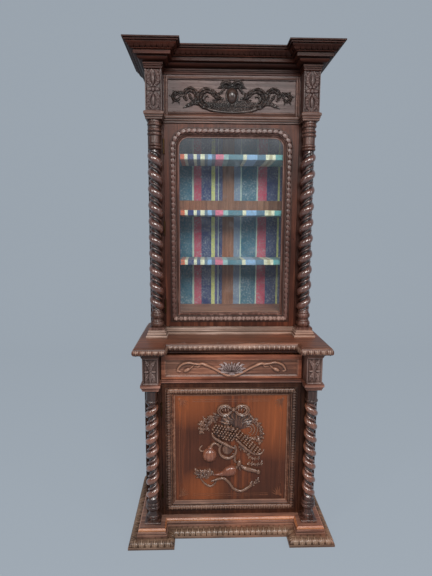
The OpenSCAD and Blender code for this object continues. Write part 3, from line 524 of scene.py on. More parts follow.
def row_tree():
    """Geometry Nodes that set one carved ornament at even spaces along every run."""
    group, tree, (runs, ornament, spacing, finish), labels = geometry_group("carved_row", (
        ("Runs", "Geometry"), ("Ornament", "Object"), ("Spacing", "Float"),
        ("Finish", "Material")), "Row")
    line = tree.node("GeometryNodeMeshToCurve", {}, {"Mesh": runs})
    line = tree.node("GeometryNodeResampleCurve", {"mode": "LENGTH"}, {
        "Curve": line, "Length": spacing})
    look = tree.node("GeometryNodeInputNamedAttribute", {"data_type": "FLOAT_VECTOR"}, {
        "Name": "look"})
    turn = tree.node("FunctionNodeAxesToRotation", {"primary_axis": "Z", "secondary_axis": "X"}, {
        "Primary Axis": look, "Secondary Axis": tree.node("GeometryNodeInputTangent")})
    shape = tree.node("GeometryNodeObjectInfo", {}, {"Object": ornament}, out="Geometry")
    row = tree.node("GeometryNodeInstanceOnPoints", {}, {
        "Points": line, "Instance": shape, "Rotation": turn})
    row = tree.node("GeometryNodeRealizeInstances", {}, {"Geometry": row})
    row = tree.node("GeometryNodeSetMaterial", {}, {"Geometry": row, "Material": finish})
    tree.node("NodeGroupOutput", {}, {"Row": row})
    return group, labels


ROWS = row_tree()


def carved_row(name, runs, ornament, spacing, body, finish):
    """A row of one ornament along the runs, each of which is its points and their looks."""
    points = [tuple(p / METRE) for ends, _ in runs for p in ends]
    looks = np.array([look for _, looks in runs for look in looks])
    edges, first = [], 0
    for ends, _ in runs:
        edges += [(first + i, first + i + 1) for i in range(len(ends) - 1)]
        first += len(ends)
    mesh = bpy.data.meshes.new(name + "_runs")
    mesh.from_pydata(points, edges, [])
    mesh.attributes.new("look", "FLOAT_VECTOR", "POINT").data.foreach_set("vector", looks.ravel())
    row = grown(mesh, *ROWS, {
        "Ornament": ornament, "Spacing": spacing / METRE, "Finish": finish})
    row.name = name
    row.shade_smooth()
    piece(name, row, body)


BACK = 294.0
LOW_PLANE, LOW_FRONT = -144.0, -219.0
LOW_OUT, LOW_IN, LOW_OPEN = 431.5, 356.5, 350.2
POST = 24.0
PLINTH_OUT, PLINTH_HIGH = 75.0, 78.0

foot_oak = oak("plinth", "#2c1b14 #624a3b #987a67", wear_and_painted_highlight=0.8, hollow=0.8)
foot_step_oak = oak("plinth_step", "#33201a #745448 #ac8672", wear_and_painted_highlight=0.8)
# The torus takes a paler, golden copy of the plinth's oak: a painted highlight along the round.
foot_torus_highlit_oak = oak("plinth_torus", "#54291a #955a3c #d89c6c", wear_and_painted_highlight=0.8, gloss=0.2, shine=0.6)
foot_leaf_oak = oak("plinth_leaf", "#20120d #56402f #ae907a", wear_and_painted_highlight=1.0, gloss=0.24, hollow=0.8)

plinth_low = sized([(1, 0), (1, 0.15), (0.95, 0.16)]
                   + curve((0.94, 0.16), (0.53, 0.46), "shoulder") + [(0.48, 0.47)],
                   PLINTH_OUT, PLINTH_HIGH)
plinth_step = sized([(0.48, 0.47), (0.48, 0.60), (0.43, 0.62), (0.43, 0.75)],
                    PLINTH_OUT, PLINTH_HIGH)
plinth_torus = sized([(0.40, 0.75)] + curve((0.37, 0.78), (0.41, 0.84), "round", 5)
                     + [(0.41, 0.90), (0.36, 0.97), (0.32, 1)], PLINTH_OUT, PLINTH_HIGH)
plinth_corner = corner(LOW_OUT, LOW_IN, LOW_FRONT, LOW_PLANE, BACK, LOW_OUT)
plinth_middle = front_run(LOW_IN, LOW_PLANE, LOW_OPEN)
left_foot, middle_foot = Joinery(), Joinery()
for kind, part in enumerate((plinth_low, plinth_step, plinth_torus)):
    moulding(left_foot, part, plinth_corner, 0, kind, 1)
    moulding(middle_foot, part, plinth_middle, 0, kind, 1)
foot_finishes = [foot_oak, foot_step_oak, foot_torus_highlit_oak]
left_foot.make_pair("plinth_{}_block", "oak_red", foot_finishes, "plinth_{}")
middle_foot.make("plinth_front_run", "case", "oak_red", foot_finishes, ["plinth_front"])


def mirror_runs(runs):
    flip = np.array([-1, 1, 1])
    return runs + [([p * flip for p in ends[::-1]], [k * flip for k in looks[::-1]])
                   for ends, looks in runs]


def both_runs(around_corner, along_middle, p, height, tilt, corner_trim, middle_trim):
    """The runs of both corners of a moulding and of the front between them."""
    corners = mirror_runs(runs_of(around_corner, p, height, tilt, (0, 1, 2), corner_trim))
    return corners + runs_of(along_middle, p, height, tilt, (0,), middle_trim)


plinth_leaf = carved_leaf("plinth_leaf", 33, 52, 7.0, 3, 0.55, bow=11.0)
plinth_runs = both_runs(plinth_corner, plinth_middle, p=61, height=28, tilt=45,
                        corner_trim=18, middle_trim=18)
carved_row("plinth_leaves", plinth_runs, plinth_leaf, 27, "case", foot_leaf_oak)

# Lower case: oak side panels, posts, floor, shelf and back. They are plain boards, waxed where
# they show and raw inside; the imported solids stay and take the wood.


def dress(finish, *names):
    """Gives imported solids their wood, metal or glass."""
    for name in names:
        slots = nodes[name].data.materials
        slots.clear()
        slots.append(finish)


low_upright = oak("low_upright", "#1e0f09 #321b11 #4e3021", "Z", shine=0.2)
RAW = "#5c4231 #7b5d45 #9b7c5e"
dress(low_upright, "lower_side_left", "lower_side_right", "lower_post_left", "lower_post_right")
dress(oak("raw_upright", "#5a4030 #775a43 #967759", "Z", gloss=0.6), "lower_back")
dress(oak("raw_cross", RAW, gloss=0.6), "lower_floor", "lower_shelf", "drawer_bottom",
      "cornice_lid")
dress(oak("raw_deep", RAW, "Y", gloss=0.6), "drawer_runners", "shelf_cleats", "drawer_box")

# Columns: each is one oak turning. A square foot carries a turned foot, a shaft cut as one deep
# twist with a thin bead in its groove, and a turned head. The pair is mirrored.


def twist_tree():
    """Geometry Nodes that wind one round strand and a bead on a shaft of any size. Strand, Bead
    At and Bead Half are shares of one turn."""
    lengths = ("Radius", "Groove", "Bead", "Turns", "Length", "Strand", "Bead At", "Bead Half")
    group, tree, wires, labels = geometry_group("twisted_shaft", (
        *((name, "Float") for name in lengths), ("Around", "Int"), ("Along", "Int")), "Shaft")
    radius, groove, bead, turns, length, strand, bead_at, bead_half, around, along = wires
    grid = tree.node("GeometryNodeMeshGrid", {}, {
        "Size X": 1.0, "Size Y": 1.0, "Vertices X": around, "Vertices Y": along})
    place = tree.node("GeometryNodeInputPosition")
    round_it = tree.part(place, "X") + 0.5
    share = tree.part(place, "Y") + 0.5
    phase = (round_it - turns * share + 64.0).fraction()
    middle = abs(phase - strand * 0.5) / (strand * 0.5)
    crown = (1 - middle * middle).at_least(0.0) ** 0.55
    seam = abs(phase - bead_at) / bead_half
    lip = (1 - seam * seam).at_least(0.0) ** 0.5
    cut = (crown * groove).at_least(lip * bead)
    end = (share.at_most(1 - share) * length / 0.012).between(0.0, 1.0)
    thick = (radius - groove + cut) * end + (radius - groove * 0.55) * (1 - end)
    angle = round_it * (2 * pi)
    spot = tree.node("ShaderNodeCombineXYZ", {}, [
        angle.cosine() * thick, angle.sine() * thick, share * length])
    shaft = tree.node("GeometryNodeSetPosition", {}, {"Geometry": grid, "Position": spot})
    shaft = tree.node("GeometryNodeMergeByDistance", {}, {"Geometry": shaft, "Distance": 0.00005})
    tree.node("NodeGroupOutput", {}, {"Shaft": shaft})
    return group, labels


TWIST = twist_tree()


def twisted_shaft(job, sizes):
    """Adds a shaft on the origin to a job. What stands proud is measured from its groove."""
    mesh = grown(bpy.data.meshes.new("shaft"), *TWIST, sizes)
    points = np.empty(len(mesh.vertices) * 3, np.float32)
    mesh.vertices.foreach_get("co", points)
    points = points.reshape(-1, 3) * METRE
    reach = np.hypot(points[:, 0], points[:, 1])
    low = (sizes["Radius"] - sizes["Groove"]) * METRE
    swell = np.maximum(reach - low, 0) / (sizes["Groove"] * METRE)
    proud = np.minimum(0.05 + 1.1 * swell ** 1.1, 1)
    faces = [tuple(f.vertices) for f in mesh.polygons]
    for height in (points[:, 2].min(), points[:, 2].max()):
        rim = np.flatnonzero(abs(points[:, 2] - height) < 0.01)
        faces.append(tuple(rim[np.argsort(np.arctan2(points[rim, 1], points[rim, 0]))]))
    job.shell(points, faces, proud)
    bpy.data.meshes.remove(mesh)


def bulge(r, z0, z1, steps=10):
    """A turned ring between two heights."""
    turns = [pi * i / steps for i in range(steps + 1)]
    return [(r - (1 - sin(t)) * 0.28 * (z1 - z0), z0 + (z1 - z0) * (1 - cos(t)) / 2)
            for t in turns]


def turning(job, centre, base, section):
    """A turned length of a column, in its second finish."""
    line = fine(section, 2.0)
    turns = [2 * pi * i / TURNED_SIDES for i in range(TURNED_SIDES)]
    rings = [[(centre[0] + r * cos(t), centre[1] + r * sin(t), base + z) for t in turns]
             for r, z in line]
    job.skin(rings, stands_proud(line, 4.0) * 0.8, finish=1)


FOOT_HALF, FOOT_HIGH, TURNED_SIDES = 40.0, 13.0, 40
low_foot = ([(27, 0), (27, 8)] + bulge(31, 9, 26) + [(25, 28), (23, 36), (23, 48), (27, 56)]
            + bulge(35, 58, 76) + bulge(34, 78, 94) + [(26, 96), (24, 112)])
low_head = ([(22, 0), (27, 6)] + bulge(31, 8, 20) + [(27, 21), (27, 68), (31, 72), (31, 76)])
up_foot = ([(31, 0)] + bulge(35, 1, 28) + [(29, 30), (27, 35), (27, 42)] + bulge(34, 44, 70)
           + [(29, 72), (27, 78), (24, 84)])
up_head = ([(22, 0), (27, 4)] + bulge(33, 6, 18) + [(28, 19)] + bulge(33, 20, 32)
           + [(29, 33), (29, 68)] + bulge(35, 70, 84) + [(30, 86), (30, 88)] + bulge(34, 89, 101)
           + [(29, 103), (29, 113)] + bulge(35, 115, 129) + [(33, 131), (33, 141)])


def column(case, centre, depth, base, top_at, foot, head, hand, slot, finishes, sizes):
    """A pair of columns. A shaft whose hand is -1 winds the other way on the left column."""
    job = Joinery()
    x, y = centre
    rings = [[(x - FOOT_HALF - p, y - FOOT_HALF - p, base + q),
              (x + FOOT_HALF + p, y - FOOT_HALF - p, base + q),
              (x + FOOT_HALF + p, y + depth / 2, base + q),
              (x - FOOT_HALF - p, y + depth / 2, base + q)]
             for p, q in ((0, 0), (0, 9), (-2, 11), (-2, FOOT_HIGH))]
    job.skin(rings, [0.5, 0.8, 0.4, 0.4], finish=1)
    foot_top = base + FOOT_HIGH + foot[-1][1]
    head_base = top_at - head[-1][1]
    turning(job, centre, base + FOOT_HIGH, foot)
    shaft = Joinery()
    twisted_shaft(shaft, {**sizes, "Strand": 0.58, "Length": (head_base - foot_top) / METRE,
                          "Around": 61, "Along": int(sizes["Turns"] * 34) + 1})
    if hand < 0:
        shaft = shaft.mirrored()
    job.shell([(px + x, py + y, pz + foot_top) for px, py, pz in shaft.points], shaft.faces,
              shaft.proud)
    turning(job, centre, head_base, head)
    job.make_pair(case + "_turning_{}", slot, finishes, case + "_column_{}")


CAP_BASE = 776.0
LOW_BLOCK_WIDE, LOW_BLOCK_MIDDLE = LOW_OUT - LOW_IN, -(LOW_OUT + LOW_IN) / 2
low_twist_oak = oak("low_twist", "#200e08 #4c2718 #966048", "Z", wear_and_painted_highlight=0.6, gloss=0.2, shine=0.9,
                    coat=0.9)
low_turned_oak = oak("low_turned", "#1c0e0a #3a241c #7a5a50", "Z", wear_and_painted_highlight=0.7, gloss=0.22, coat=0.6)
column("lower", (LOW_BLOCK_MIDDLE, -181.5), LOW_BLOCK_WIDE, PLINTH_HIGH, CAP_BASE, low_foot,
       low_head, 1, "oak", [low_twist_oak, low_turned_oak], {
           "Radius": 0.0330, "Turns": 7.0, "Groove": 0.0180, "Bead": 0.0100, "Bead At": 0.87,
           "Bead Half": 0.11})

# Drawer rail: the moulded oak rail under the drawer, which breaks forward as a cap over each
# lower column.
RAIL_BASE, RAIL_HIGH, CAP_HIGH, CAP_OUT = 788.0, 20.0, 32.0, 10.0
rail_oak = oak("rail", "#2c160e #623c2e #ac8070", wear_and_painted_highlight=0.8, gloss=0.26)
cap_section = sized([(0.06, 0), (0.12, 0.03), (0.12, 0.20), (0.40, 0.24), (0.40, 0.36)]
                    + curve((0.45, 0.38), (0.90, 0.56), "hollow") + [(1, 0.60), (1, 1)],
                    CAP_OUT, CAP_HIGH)
rail_section = sized(curve((0.30, 0), (0.90, 0.30), "hollow") + [(1, 0.36), (1, 1)],
                     CAP_OUT, RAIL_HIGH)
rail = moulding(Joinery(), rail_section, plinth_middle, RAIL_BASE)
for side in (-1, 1):
    moulding(rail, cap_section, lambda p, s=side: [
        (s * (LOW_OUT + p), LOW_PLANE), (s * (LOW_OUT + p), LOW_FRONT - p),
        (s * (LOW_IN - p), LOW_FRONT - p), (s * (LOW_IN - p), LOW_PLANE - p),
        (s * LOW_IN, LOW_PLANE)], CAP_BASE)
rail.make("drawer_rail_moulding", "case", "oak_red", [rail_oak], ["drawer_rail"])

# Blocks beside the drawer: square oak blocks over the columns. Each front is sunk and carved
# with a sprig of leaves held by a band.


def smooth(points, step=1.2):
    """A rounded line through the points, and how far along it each of its points is."""
    line = np.array([points[0], *points, points[-1]], float)
    found = []
    for a, b, c, d in zip(line, line[1:], line[2:], line[3:]):
        count = max(2, int(np.linalg.norm(c - b) / step))
        t = np.linspace(0, 1, count, endpoint=False)[:, None]
        found.append(0.5 * (2 * b + (c - a) * t + (2 * a - 5 * b + 4 * c - d) * t ** 2
                            + (3 * b - a - 3 * c + d) * t ** 3))
    line = np.concatenate([*found, line[-1:]])
    return line, np.concatenate([[0], np.cumsum(np.hypot(*np.diff(line, axis=0).T))])


def off(x, z, across, up, angle):
    """The point at an angle on an oval round (x, z)."""
    return x + across * cos(angle), z + up * sin(angle)


def spiral(x, z, start, end, angle, turned, count=22):
    """The middle line of a scroll that winds from one radius to another."""
    radii = [start + (end - start) * i / count for i in range(count + 1)]
    return [off(x, z, r, r, radians(angle + turned * i / count)) for i, r in enumerate(radii)]


FAR_BELOW = -99


class Carving:
    """The carved face of a board: how far each point of a fine grid stands out from it."""

    def __init__(self, x0, x1, z0, z1, step=2.0):
        self.xs = np.linspace(x0, x1, round((x1 - x0) / step) + 1)
        self.zs = np.linspace(z0, z1, round((z1 - z0) / step) + 1)
        self.x, self.z = np.meshgrid(self.xs, self.zs)
        self.high = np.zeros(self.x.shape)

    def window(self, x, z, reach):
        i0, i1 = np.searchsorted(self.xs, (x - reach, x + reach))
        j0, j1 = np.searchsorted(self.zs, (z - reach, z + reach))
        return slice(j0, j1), slice(i0, i1)

    def nearest(self, path, reach):
        """For each grid point, its distance to the path and the number of the point nearest."""
        gap = np.full(self.x.shape, np.inf)
        which = np.zeros(self.x.shape, int)
        for k, (x, z) in enumerate(path):
            spot = self.window(x, z, reach)
            away = np.hypot(self.x[spot] - x, self.z[spot] - z)
            closer = away < gap[spot]
            gap[spot][closer] = away[closer]
            which[spot][closer] = k
        return gap, which

    def stroke(self, points, widths, rises, rib=0.0, lobes=0.0, pitch=9.0, base=0.0):
        """A rounded rib along a line: half widths and rises are spread along it. A rib is a
        groove down its middle, and lobes cut its edge into leaf tips."""
        path, along = smooth(points)
        share = along / along[-1]
        half = np.interp(share, np.linspace(0, 1, len(widths)), widths)
        rise = np.interp(share, np.linspace(0, 1, len(rises)), rises)
        gap, which = self.nearest(path, max(widths) * 1.05)
        run = along[which]
        edge = half[which] * (1 - lobes * (0.5 + 0.5 * np.cos(2 * pi * run / pitch)))
        u = np.minimum(gap / np.maximum(edge, 0.1), 1)
        top_line = rise[which] * np.sqrt(1 - u * u)
        top_line *= 1 - rib * np.exp(-(u / 0.2) ** 2)
        if lobes:
            top_line *= 1 - 0.35 * (0.5 + 0.5 * np.cos(2 * pi * (run / pitch - 0.7 * u)))
        self.high = np.maximum(self.high, np.where(gap < edge, base + top_line, FAR_BELOW))

    def strokes(self, *ribs):
        """Several ribs, each given as what stroke asks for."""
        for points, widths, rises, *rest in ribs:
            self.stroke(points, widths, rises, *rest)

    def boss(self, x, z, wide, high, rise, tilt=0.0, base=0.0, ribs=0):
        """A rounded boss, egg or leaf of half sizes wide and high, with ribs across it."""
        spot = self.window(x, z, max(wide, high) * 1.05)
        a = radians(tilt)
        dx, dz = self.x[spot] - x, self.z[spot] - z
        u = (dx * cos(a) + dz * sin(a)) / wide
        v = (dz * cos(a) - dx * sin(a)) / high
        inside = u * u + v * v
        top_line = rise * np.sqrt(np.maximum(0, 1 - inside))
        if ribs:
            top_line *= 1 - 0.3 * (0.5 + 0.5 * np.cos(2 * pi * ribs * v))
        self.high[spot] = np.maximum(self.high[spot],
                                     np.where(inside < 1, base + top_line, FAR_BELOW))

    def sink(self, x0, x1, z0, z1, depth, bevel=2.0):
        """A sunk field with sloping sides."""
        edge = np.minimum.reduce([self.x - x0, x1 - self.x, self.z - z0, z1 - self.z])
        self.high -= depth * np.clip(edge / bevel, 0, 1)

    def mirror(self):
        """Repeats each half on the other."""
        self.high = np.maximum(self.high, self.high[:, ::-1])

    def proud(self):
        """How far each grid point stands out from what is round it."""
        soft = self.high.copy()
        for axis in (0, 1):
            for _ in range(2):
                pad = np.pad(soft, [(3, 3) if a == axis else (0, 0) for a in (0, 1)], mode="edge")
                size = soft.shape[axis]
                soft = sum(np.take(pad, range(k, k + size), axis) for k in range(7)) / 7
        return np.clip(0.5 + (self.high - soft) * 0.22, 0, 1)

    def slab(self, job, face, back, field=None):
        """The whole board, carved on its front and flat behind. A field between two x and two z
        takes the second finish."""
        rows, cols = self.high.shape
        points = np.stack([self.x, face - self.high, self.z], axis=2).reshape(-1, 3)
        faces = [(j * cols + i, j * cols + i + 1, (j + 1) * cols + i + 1, (j + 1) * cols + i)
                 for j in range(rows - 1) for i in range(cols - 1)]
        size = rows * cols
        ends = [(self.xs[0], back, self.zs[0]), (self.xs[-1], back, self.zs[0]),
                (self.xs[-1], back, self.zs[-1]), (self.xs[0], back, self.zs[-1])]
        faces += [[size, size + 3, size + 2, size + 1],
                  [*range(cols - 1, -1, -1), size, size + 1],
                  [*range((rows - 1) * cols, size), size + 2, size + 3],
                  [*range(0, size, cols), size + 3, size],
                  [*range(size - 1, -1, -cols), size + 1, size + 2]]
        first = len(job.faces)
        job.shell([*points, *ends], faces, np.concatenate([self.proud().ravel(), [0.5] * 4]))
        if field:
            x0, x1, z0, z1 = field
            inside = (self.x > x0) & (self.x < x1) & (self.z > z0) & (self.z < z1)
            for k in np.flatnonzero(inside[:-1, :-1]):
                job.finishes[first + int(k)] = 1
        return job

    def applied(self, job, face, least=0.5, finish=0):
        """Only what stands out from the board, as a closed carving that lies on it."""
        rows, cols = self.high.shape
        on = self.high > least
        cell = on[:-1, :-1] & on[1:, :-1] & on[:-1, 1:] & on[1:, 1:]
        used = np.zeros(on.shape, bool)
        for shift in ((0, 0), (1, 0), (0, 1), (1, 1)):
            used[shift[0]:rows - 1 + shift[0], shift[1]:cols - 1 + shift[1]] |= cell
        number = np.full(on.shape, -1)
        number[used] = np.arange(used.sum())
        size = int(used.sum())
        front = np.stack([self.x[used], face - self.high[used], self.z[used]], axis=1)
        behind = np.stack([self.x[used], np.full(size, face + 0.3), self.z[used]], axis=1)
        faces = []
        for j, i in zip(*np.nonzero(cell)):
            a, b, c, d = number[j, i], number[j, i + 1], number[j + 1, i + 1], number[j + 1, i]
            faces += [(a, b, c, d), (size + d, size + c, size + b, size + a)]
            for other, (p, q) in (((j - 1, i), (a, b)), ((j, i + 1), (b, c)),
                                  ((j + 1, i), (c, d)), ((j, i - 1), (d, a))):
                inside = 0 <= other[0] < rows - 1 and 0 <= other[1] < cols - 1 and cell[other]
                if not inside:
                    faces.append((q, p, size + p, size + q))
        proud = self.proud()[used]
        job.shell(np.concatenate([front, behind]), faces, np.concatenate([proud, proud]), finish)


LOW_BLOCK_BASE, LOW_BLOCK_TOP = 808.0, 938.0
low_block_oak = oak("low_block", "#26180f #4e3a34 #8e7a74", "Z", wear_and_painted_highlight=0.9, gloss=0.28,
                    shine=0.35, hollow=0.5)
sprig = Carving(-LOW_OUT, -LOW_IN, LOW_BLOCK_BASE, LOW_BLOCK_TOP, 1.5)
sprig.sink(-LOW_OUT + 4, -LOW_IN - 4, LOW_BLOCK_BASE + 4, LOW_BLOCK_TOP - 4, 6.0, 5.0)
x, z, sunk = LOW_BLOCK_MIDDLE, 872.0, -6
sprig.strokes(
    ([(x + 2, z + 8), (x + 8, z + 30), (x + 26, z + 55)], (7, 10, 3), (6, 7, 2), 0.4, 0.1, 14, sunk),
    ([(x + 2, z - 8), (x + 14, z - 26), (x + 24, z - 50)], (7, 10, 3), (5, 7, 2), 0.4, 0.1, 14, sunk),
    ([(x, z + 6), (x, z + 42)], (6, 9, 3), (7, 9, 3), 0.5, 0, 9, sunk),
    ([(x, z - 6), (x, z - 52)], (6, 9, 3), (6, 8, 3), 0.5, 0, 9, sunk))
sprig.boss(x + 16, z, 13, 5, 8, base=sunk)
sprig.mirror()
sprig.slab(Joinery(), LOW_FRONT, LOW_PLANE).make_pair(
    "lower_block_carved_{}", "oak", [low_block_oak], "lower_block_{}")

# Drawer: its front is one oak board with a sunk field, carved with a palmette from which two
# branches run out to a curl. The box behind it is raw oak.
LOW_DOOR = 348.5
DRAWER_BASE, DRAWER_TOP, DRAWER_THICK = 811.0, 931.0, 22.0
drawer_oak = oak("drawer", "#3e1f13 #764633 #b07658", wear_and_painted_highlight=0.8, gloss=0.28)
drawer_field_oak = oak("drawer_field", "#3a231a #6c4838 #b4866e", wear_and_painted_highlight=0.9, gloss=0.26,
                       hollow=0.5)
palm_oak = oak("palm", "#241712 #5a4640 #b4a09e", wear_and_painted_highlight=0.9, gloss=0.24, shine=0.5)
DRAWER_FIELD = (-331.5, 331.5, 822.0, 908.0)
ground = -4.5
branch = Carving(-LOW_DOOR, LOW_DOOR, DRAWER_BASE, DRAWER_TOP, 2.0)
branch.sink(*DRAWER_FIELD, -ground, 9)
branch.strokes(
    ([(0, 828), (26, 829), (58, 845), (104, 870), (145, 887), (162, 885), (182, 887), (216, 893),
      (246, 884), (264, 866), (268, 852), (256, 848)], (9, 8, 7, 6, 6, 8, 6, 6, 7, 6, 6, 4),
     (9, 10, 9, 8, 9, 10, 8, 9, 9, 8, 7, 5), 0, 0, 9, ground),
    ([(186, 882), (200, 868), (212, 858)], (3, 4, 4), (4, 5, 5), 0, 0, 9, ground),
    ([(150, 884), (166, 872), (184, 872)], (3, 5, 3), (4, 6, 4), 0, 0, 9, ground))
branch.boss(222, 856, 19, 10, 11, -28, ground)
branch.mirror()
palm = Carving(-74, 74, 826, 905, 2.0)
for lean, reach, half in ((4, 60, 9), (22, 68, 11), (42, 72, 12), (62, 66, 12), (82, 54, 11)):
    a = radians(lean)
    palm.stroke([(7, 842), (7 + 0.5 * reach * cos(a), 842 + 0.42 * reach * sin(a + 0.12)),
                 (7 + 0.8 * reach * cos(a), 840 + 0.82 * reach * sin(a + 0.05)),
                 off(7, 838, reach, reach, a - 0.08)],
                (5, half, half * 0.8, 2), (9, 13 + lean / 30, 12 + lean / 30, 3), 0.3)
palm.boss(0, 838, 20, 10, 18, ribs=1)
palm.mirror()
palm.stroke([(0, 842), (0, 872), (0, 897)], (5, 11, 2), (10, 14, 3), 0.3)
drawer_face = branch.slab(Joinery(), LOW_PLANE, LOW_PLANE + DRAWER_THICK, DRAWER_FIELD)
palm.applied(drawer_face, LOW_PLANE - ground, 0.5, 2)
drawer_face.make("drawer_front_carved", "drawer", "oak_red",
                 [drawer_oak, drawer_field_oak, palm_oak], ["drawer_front"])

# Counter: the thick oak board over the lower case, with a hollow bed moulding under it. A row of
# small carved leaves runs round its nose, and its top has worn to a warm brown.
BED_BASE, BED_HIGH, NOSE_HIGH, COUNTER_OUT, COUNTER_SET_BACK = 938.0, 24.0, 36.0, 40.0, 15.0
counter_oak = oak("counter", "#2a150c #4f2d20 #94664f", wear_and_painted_highlight=0.9)
counter_top_oak = oak("counter_top", "#3c2217 #633c2b #8c5c44", gloss=0.32)
nose_oak = oak("nose", "#2a1710 #5e4135 #ac8a76", wear_and_painted_highlight=1.0, gloss=0.26, hollow=0.5)
counter_section = (
    sized([(0.02, 0), (0.06, 0.10)] + curve((0.10, 0.14), (0.72, 0.86), "hollow") + [(0.84, 0.92)],
          COUNTER_OUT, BED_HIGH)
    + [(p, q + BED_HIGH) for p, q in sized(
        [(0.90, 0), (1, 0.12), (1, 0.28)] + curve((1, 0.30), (0.58, 1), "shoulder"),
        COUNTER_OUT, NOSE_HIGH)])
counter_ring = break_front(LOW_OUT, LOW_IN, LOW_FRONT, LOW_PLANE + COUNTER_SET_BACK, BACK)
moulding(Joinery(), counter_section, counter_ring, BED_BASE, top_finish=1).make(
    "counter_board", "case", "oak_red", [counter_oak, counter_top_oak], ["counter_top"])
nose_leaf = carved_leaf("nose_leaf", 30, 36, 5.5, 3, 0.6, turn=180, bow=4.0)
nose_runs = runs_of(counter_ring, p=38, height=BED_BASE + BED_HIGH + 16, tilt=28, edges=range(7),
                    trim=16)
carved_row("counter_nose_leaves", nose_runs, nose_leaf, 24, "case", nose_oak)

# Lower door: an oak frame of two stiles and two rails with a carved moulding inside it. The
# moulding holds a thin panel of reddish boards, and hinge and lock are let into the stiles.


def door_path(half, low, high, radius, inset, steps=8):
    """The outline of a door's moulding, inset from its edge, round its upper corners."""
    w, r = half - inset, max(radius - inset, 1)
    line = [(-w, low + inset), (w, low + inset)]
    if not radius:
        return line + [(w, high - inset), (-w, high - inset)]
    turns = [pi / 2 * i / steps for i in range(steps + 1)]
    line += [(w - r + r * cos(t), high - inset - r + r * sin(t)) for t in turns]
    return line + [(-w + r - r * sin(t), high - inset - r + r * cos(t)) for t in turns]


DOOR_DROP, MOULD_WIDE, REBATE, CROWN_AT = 12.0, 47.0, 17.0, 17.0


def door_section(high):
    """From the moulding's outer edge inwards: a fillet, a broad round, a hollow and a bevel."""
    crown = [(CROWN_AT - 10 * cos(t), (0.5 + 0.5 * sin(t)) * high)
             for t in np.linspace(radians(8), radians(172), 13)]
    return [(0, 0), (0, 0.4 * high), (6, 0.5 * high), (6.5, 0.36 * high)] + crown + [
        (27.5, 0.24 * high), (29, 0.22 * high), (31, 0.4 * high), (33, 0.32 * high),
        (MOULD_WIDE - 3, 3 - DOOR_DROP), (MOULD_WIDE, 3 - DOOR_DROP)]


def door_moulding(name, body, slot, finish, replaces, face, rise, **outline):
    line = fine(door_section(rise), 2.0)
    proud = stands_proud([(q, p) for p, q in line])
    tail = [(MOULD_WIDE, -DOOR_DROP), (MOULD_WIDE - REBATE, -DOOR_DROP), (MOULD_WIDE - REBATE, 0)]
    rings = [[(x, face - q, z) for x, z in door_path(inset=p, **outline)] for p, q in line + tail]
    job = Joinery()
    job.skin(rings, [*(1 - proud), 0.3, 0.3, 0.3], closed=True)
    job.make(name, body, slot, [finish], replaces)


def door_row(name, body, slot, finish, leaf, spacing, sides, height, **outline):
    """A row of leaves along some sides of a door's moulding: 0 bottom, 1 right, 2 top, 3 left, or
    4 for the right, top and left in one, round their corners."""
    path = door_path(inset=CROWN_AT, **outline)
    runs = []
    for side in sides:
        line = path[1:] + path[:1] if side == 4 else [path[side], path[(side + 1) % 4]]
        ends = [np.array([x, height, z]) for x, z in line]
        first, last = ends[1] - ends[0], ends[-1] - ends[-2]
        ends[0] = ends[0] + first / np.linalg.norm(first) * spacing * 0.5
        ends[-1] = ends[-1] - last / np.linalg.norm(last) * spacing * 0.5
        runs.append((ends, [np.array([0.0, -1.0, 0.0])] * len(ends)))
    carved_row(name, runs, leaf, spacing, body, finish)


LOW_MOULD = dict(half=330.5, low=107.0, high=767.0, radius=0)
LOW_RISE, LEAF_SUNK = 14.0, 1.6
low_mould_oak = oak("low_mould", "#28150e #5c3c2e #a47c66", wear_and_painted_highlight=1.0, gloss=0.28, shine=0.35,
                    dust=0.05)
low_leaf_oak = oak("low_mould_leaf", "#22120c #4a3024 #9c7a66", wear_and_painted_highlight=1.0, gloss=0.24, hollow=0.75)
low_rib_oak = oak("low_rib", "#22120c #4a342a #72584a", wear_and_painted_highlight=0.6, gloss=0.28, hollow=0.5)
dress(oak("low_frame", "#1f100a #371e13 #523424", "Z", shine=0.2), "lower_door_frame")
door_moulding("lower_door_mould", "lower_door", "oak", low_mould_oak, ["lower_door_moulding"],
              face=LOW_PLANE, rise=LOW_RISE, **LOW_MOULD)
top_leaf = carved_leaf("top_leaf", 36, 31, 5.0, 3, 0.7, bow=6.0)
bottom_leaf = carved_leaf("bottom_leaf", 36, 31, 5.0, 3, 0.7, turn=180, bow=6.0)
side_rib = carved_leaf("side_rib", 16, 22, 3.0, 1, 0.75)
for name, leaf, spacing, sides, leaf_finish in (
        ("top_leaves", top_leaf, 25, (2,), low_leaf_oak),
        ("bottom_leaves", bottom_leaf, 25, (0,), low_leaf_oak),
        ("side_ribs", side_rib, 14, (1, 3), low_rib_oak)):
    door_row("lower_door_" + name, "lower_door", "oak", leaf_finish, leaf, spacing, sides,
             LOW_PLANE - LOW_RISE + LEAF_SUNK, **LOW_MOULD)


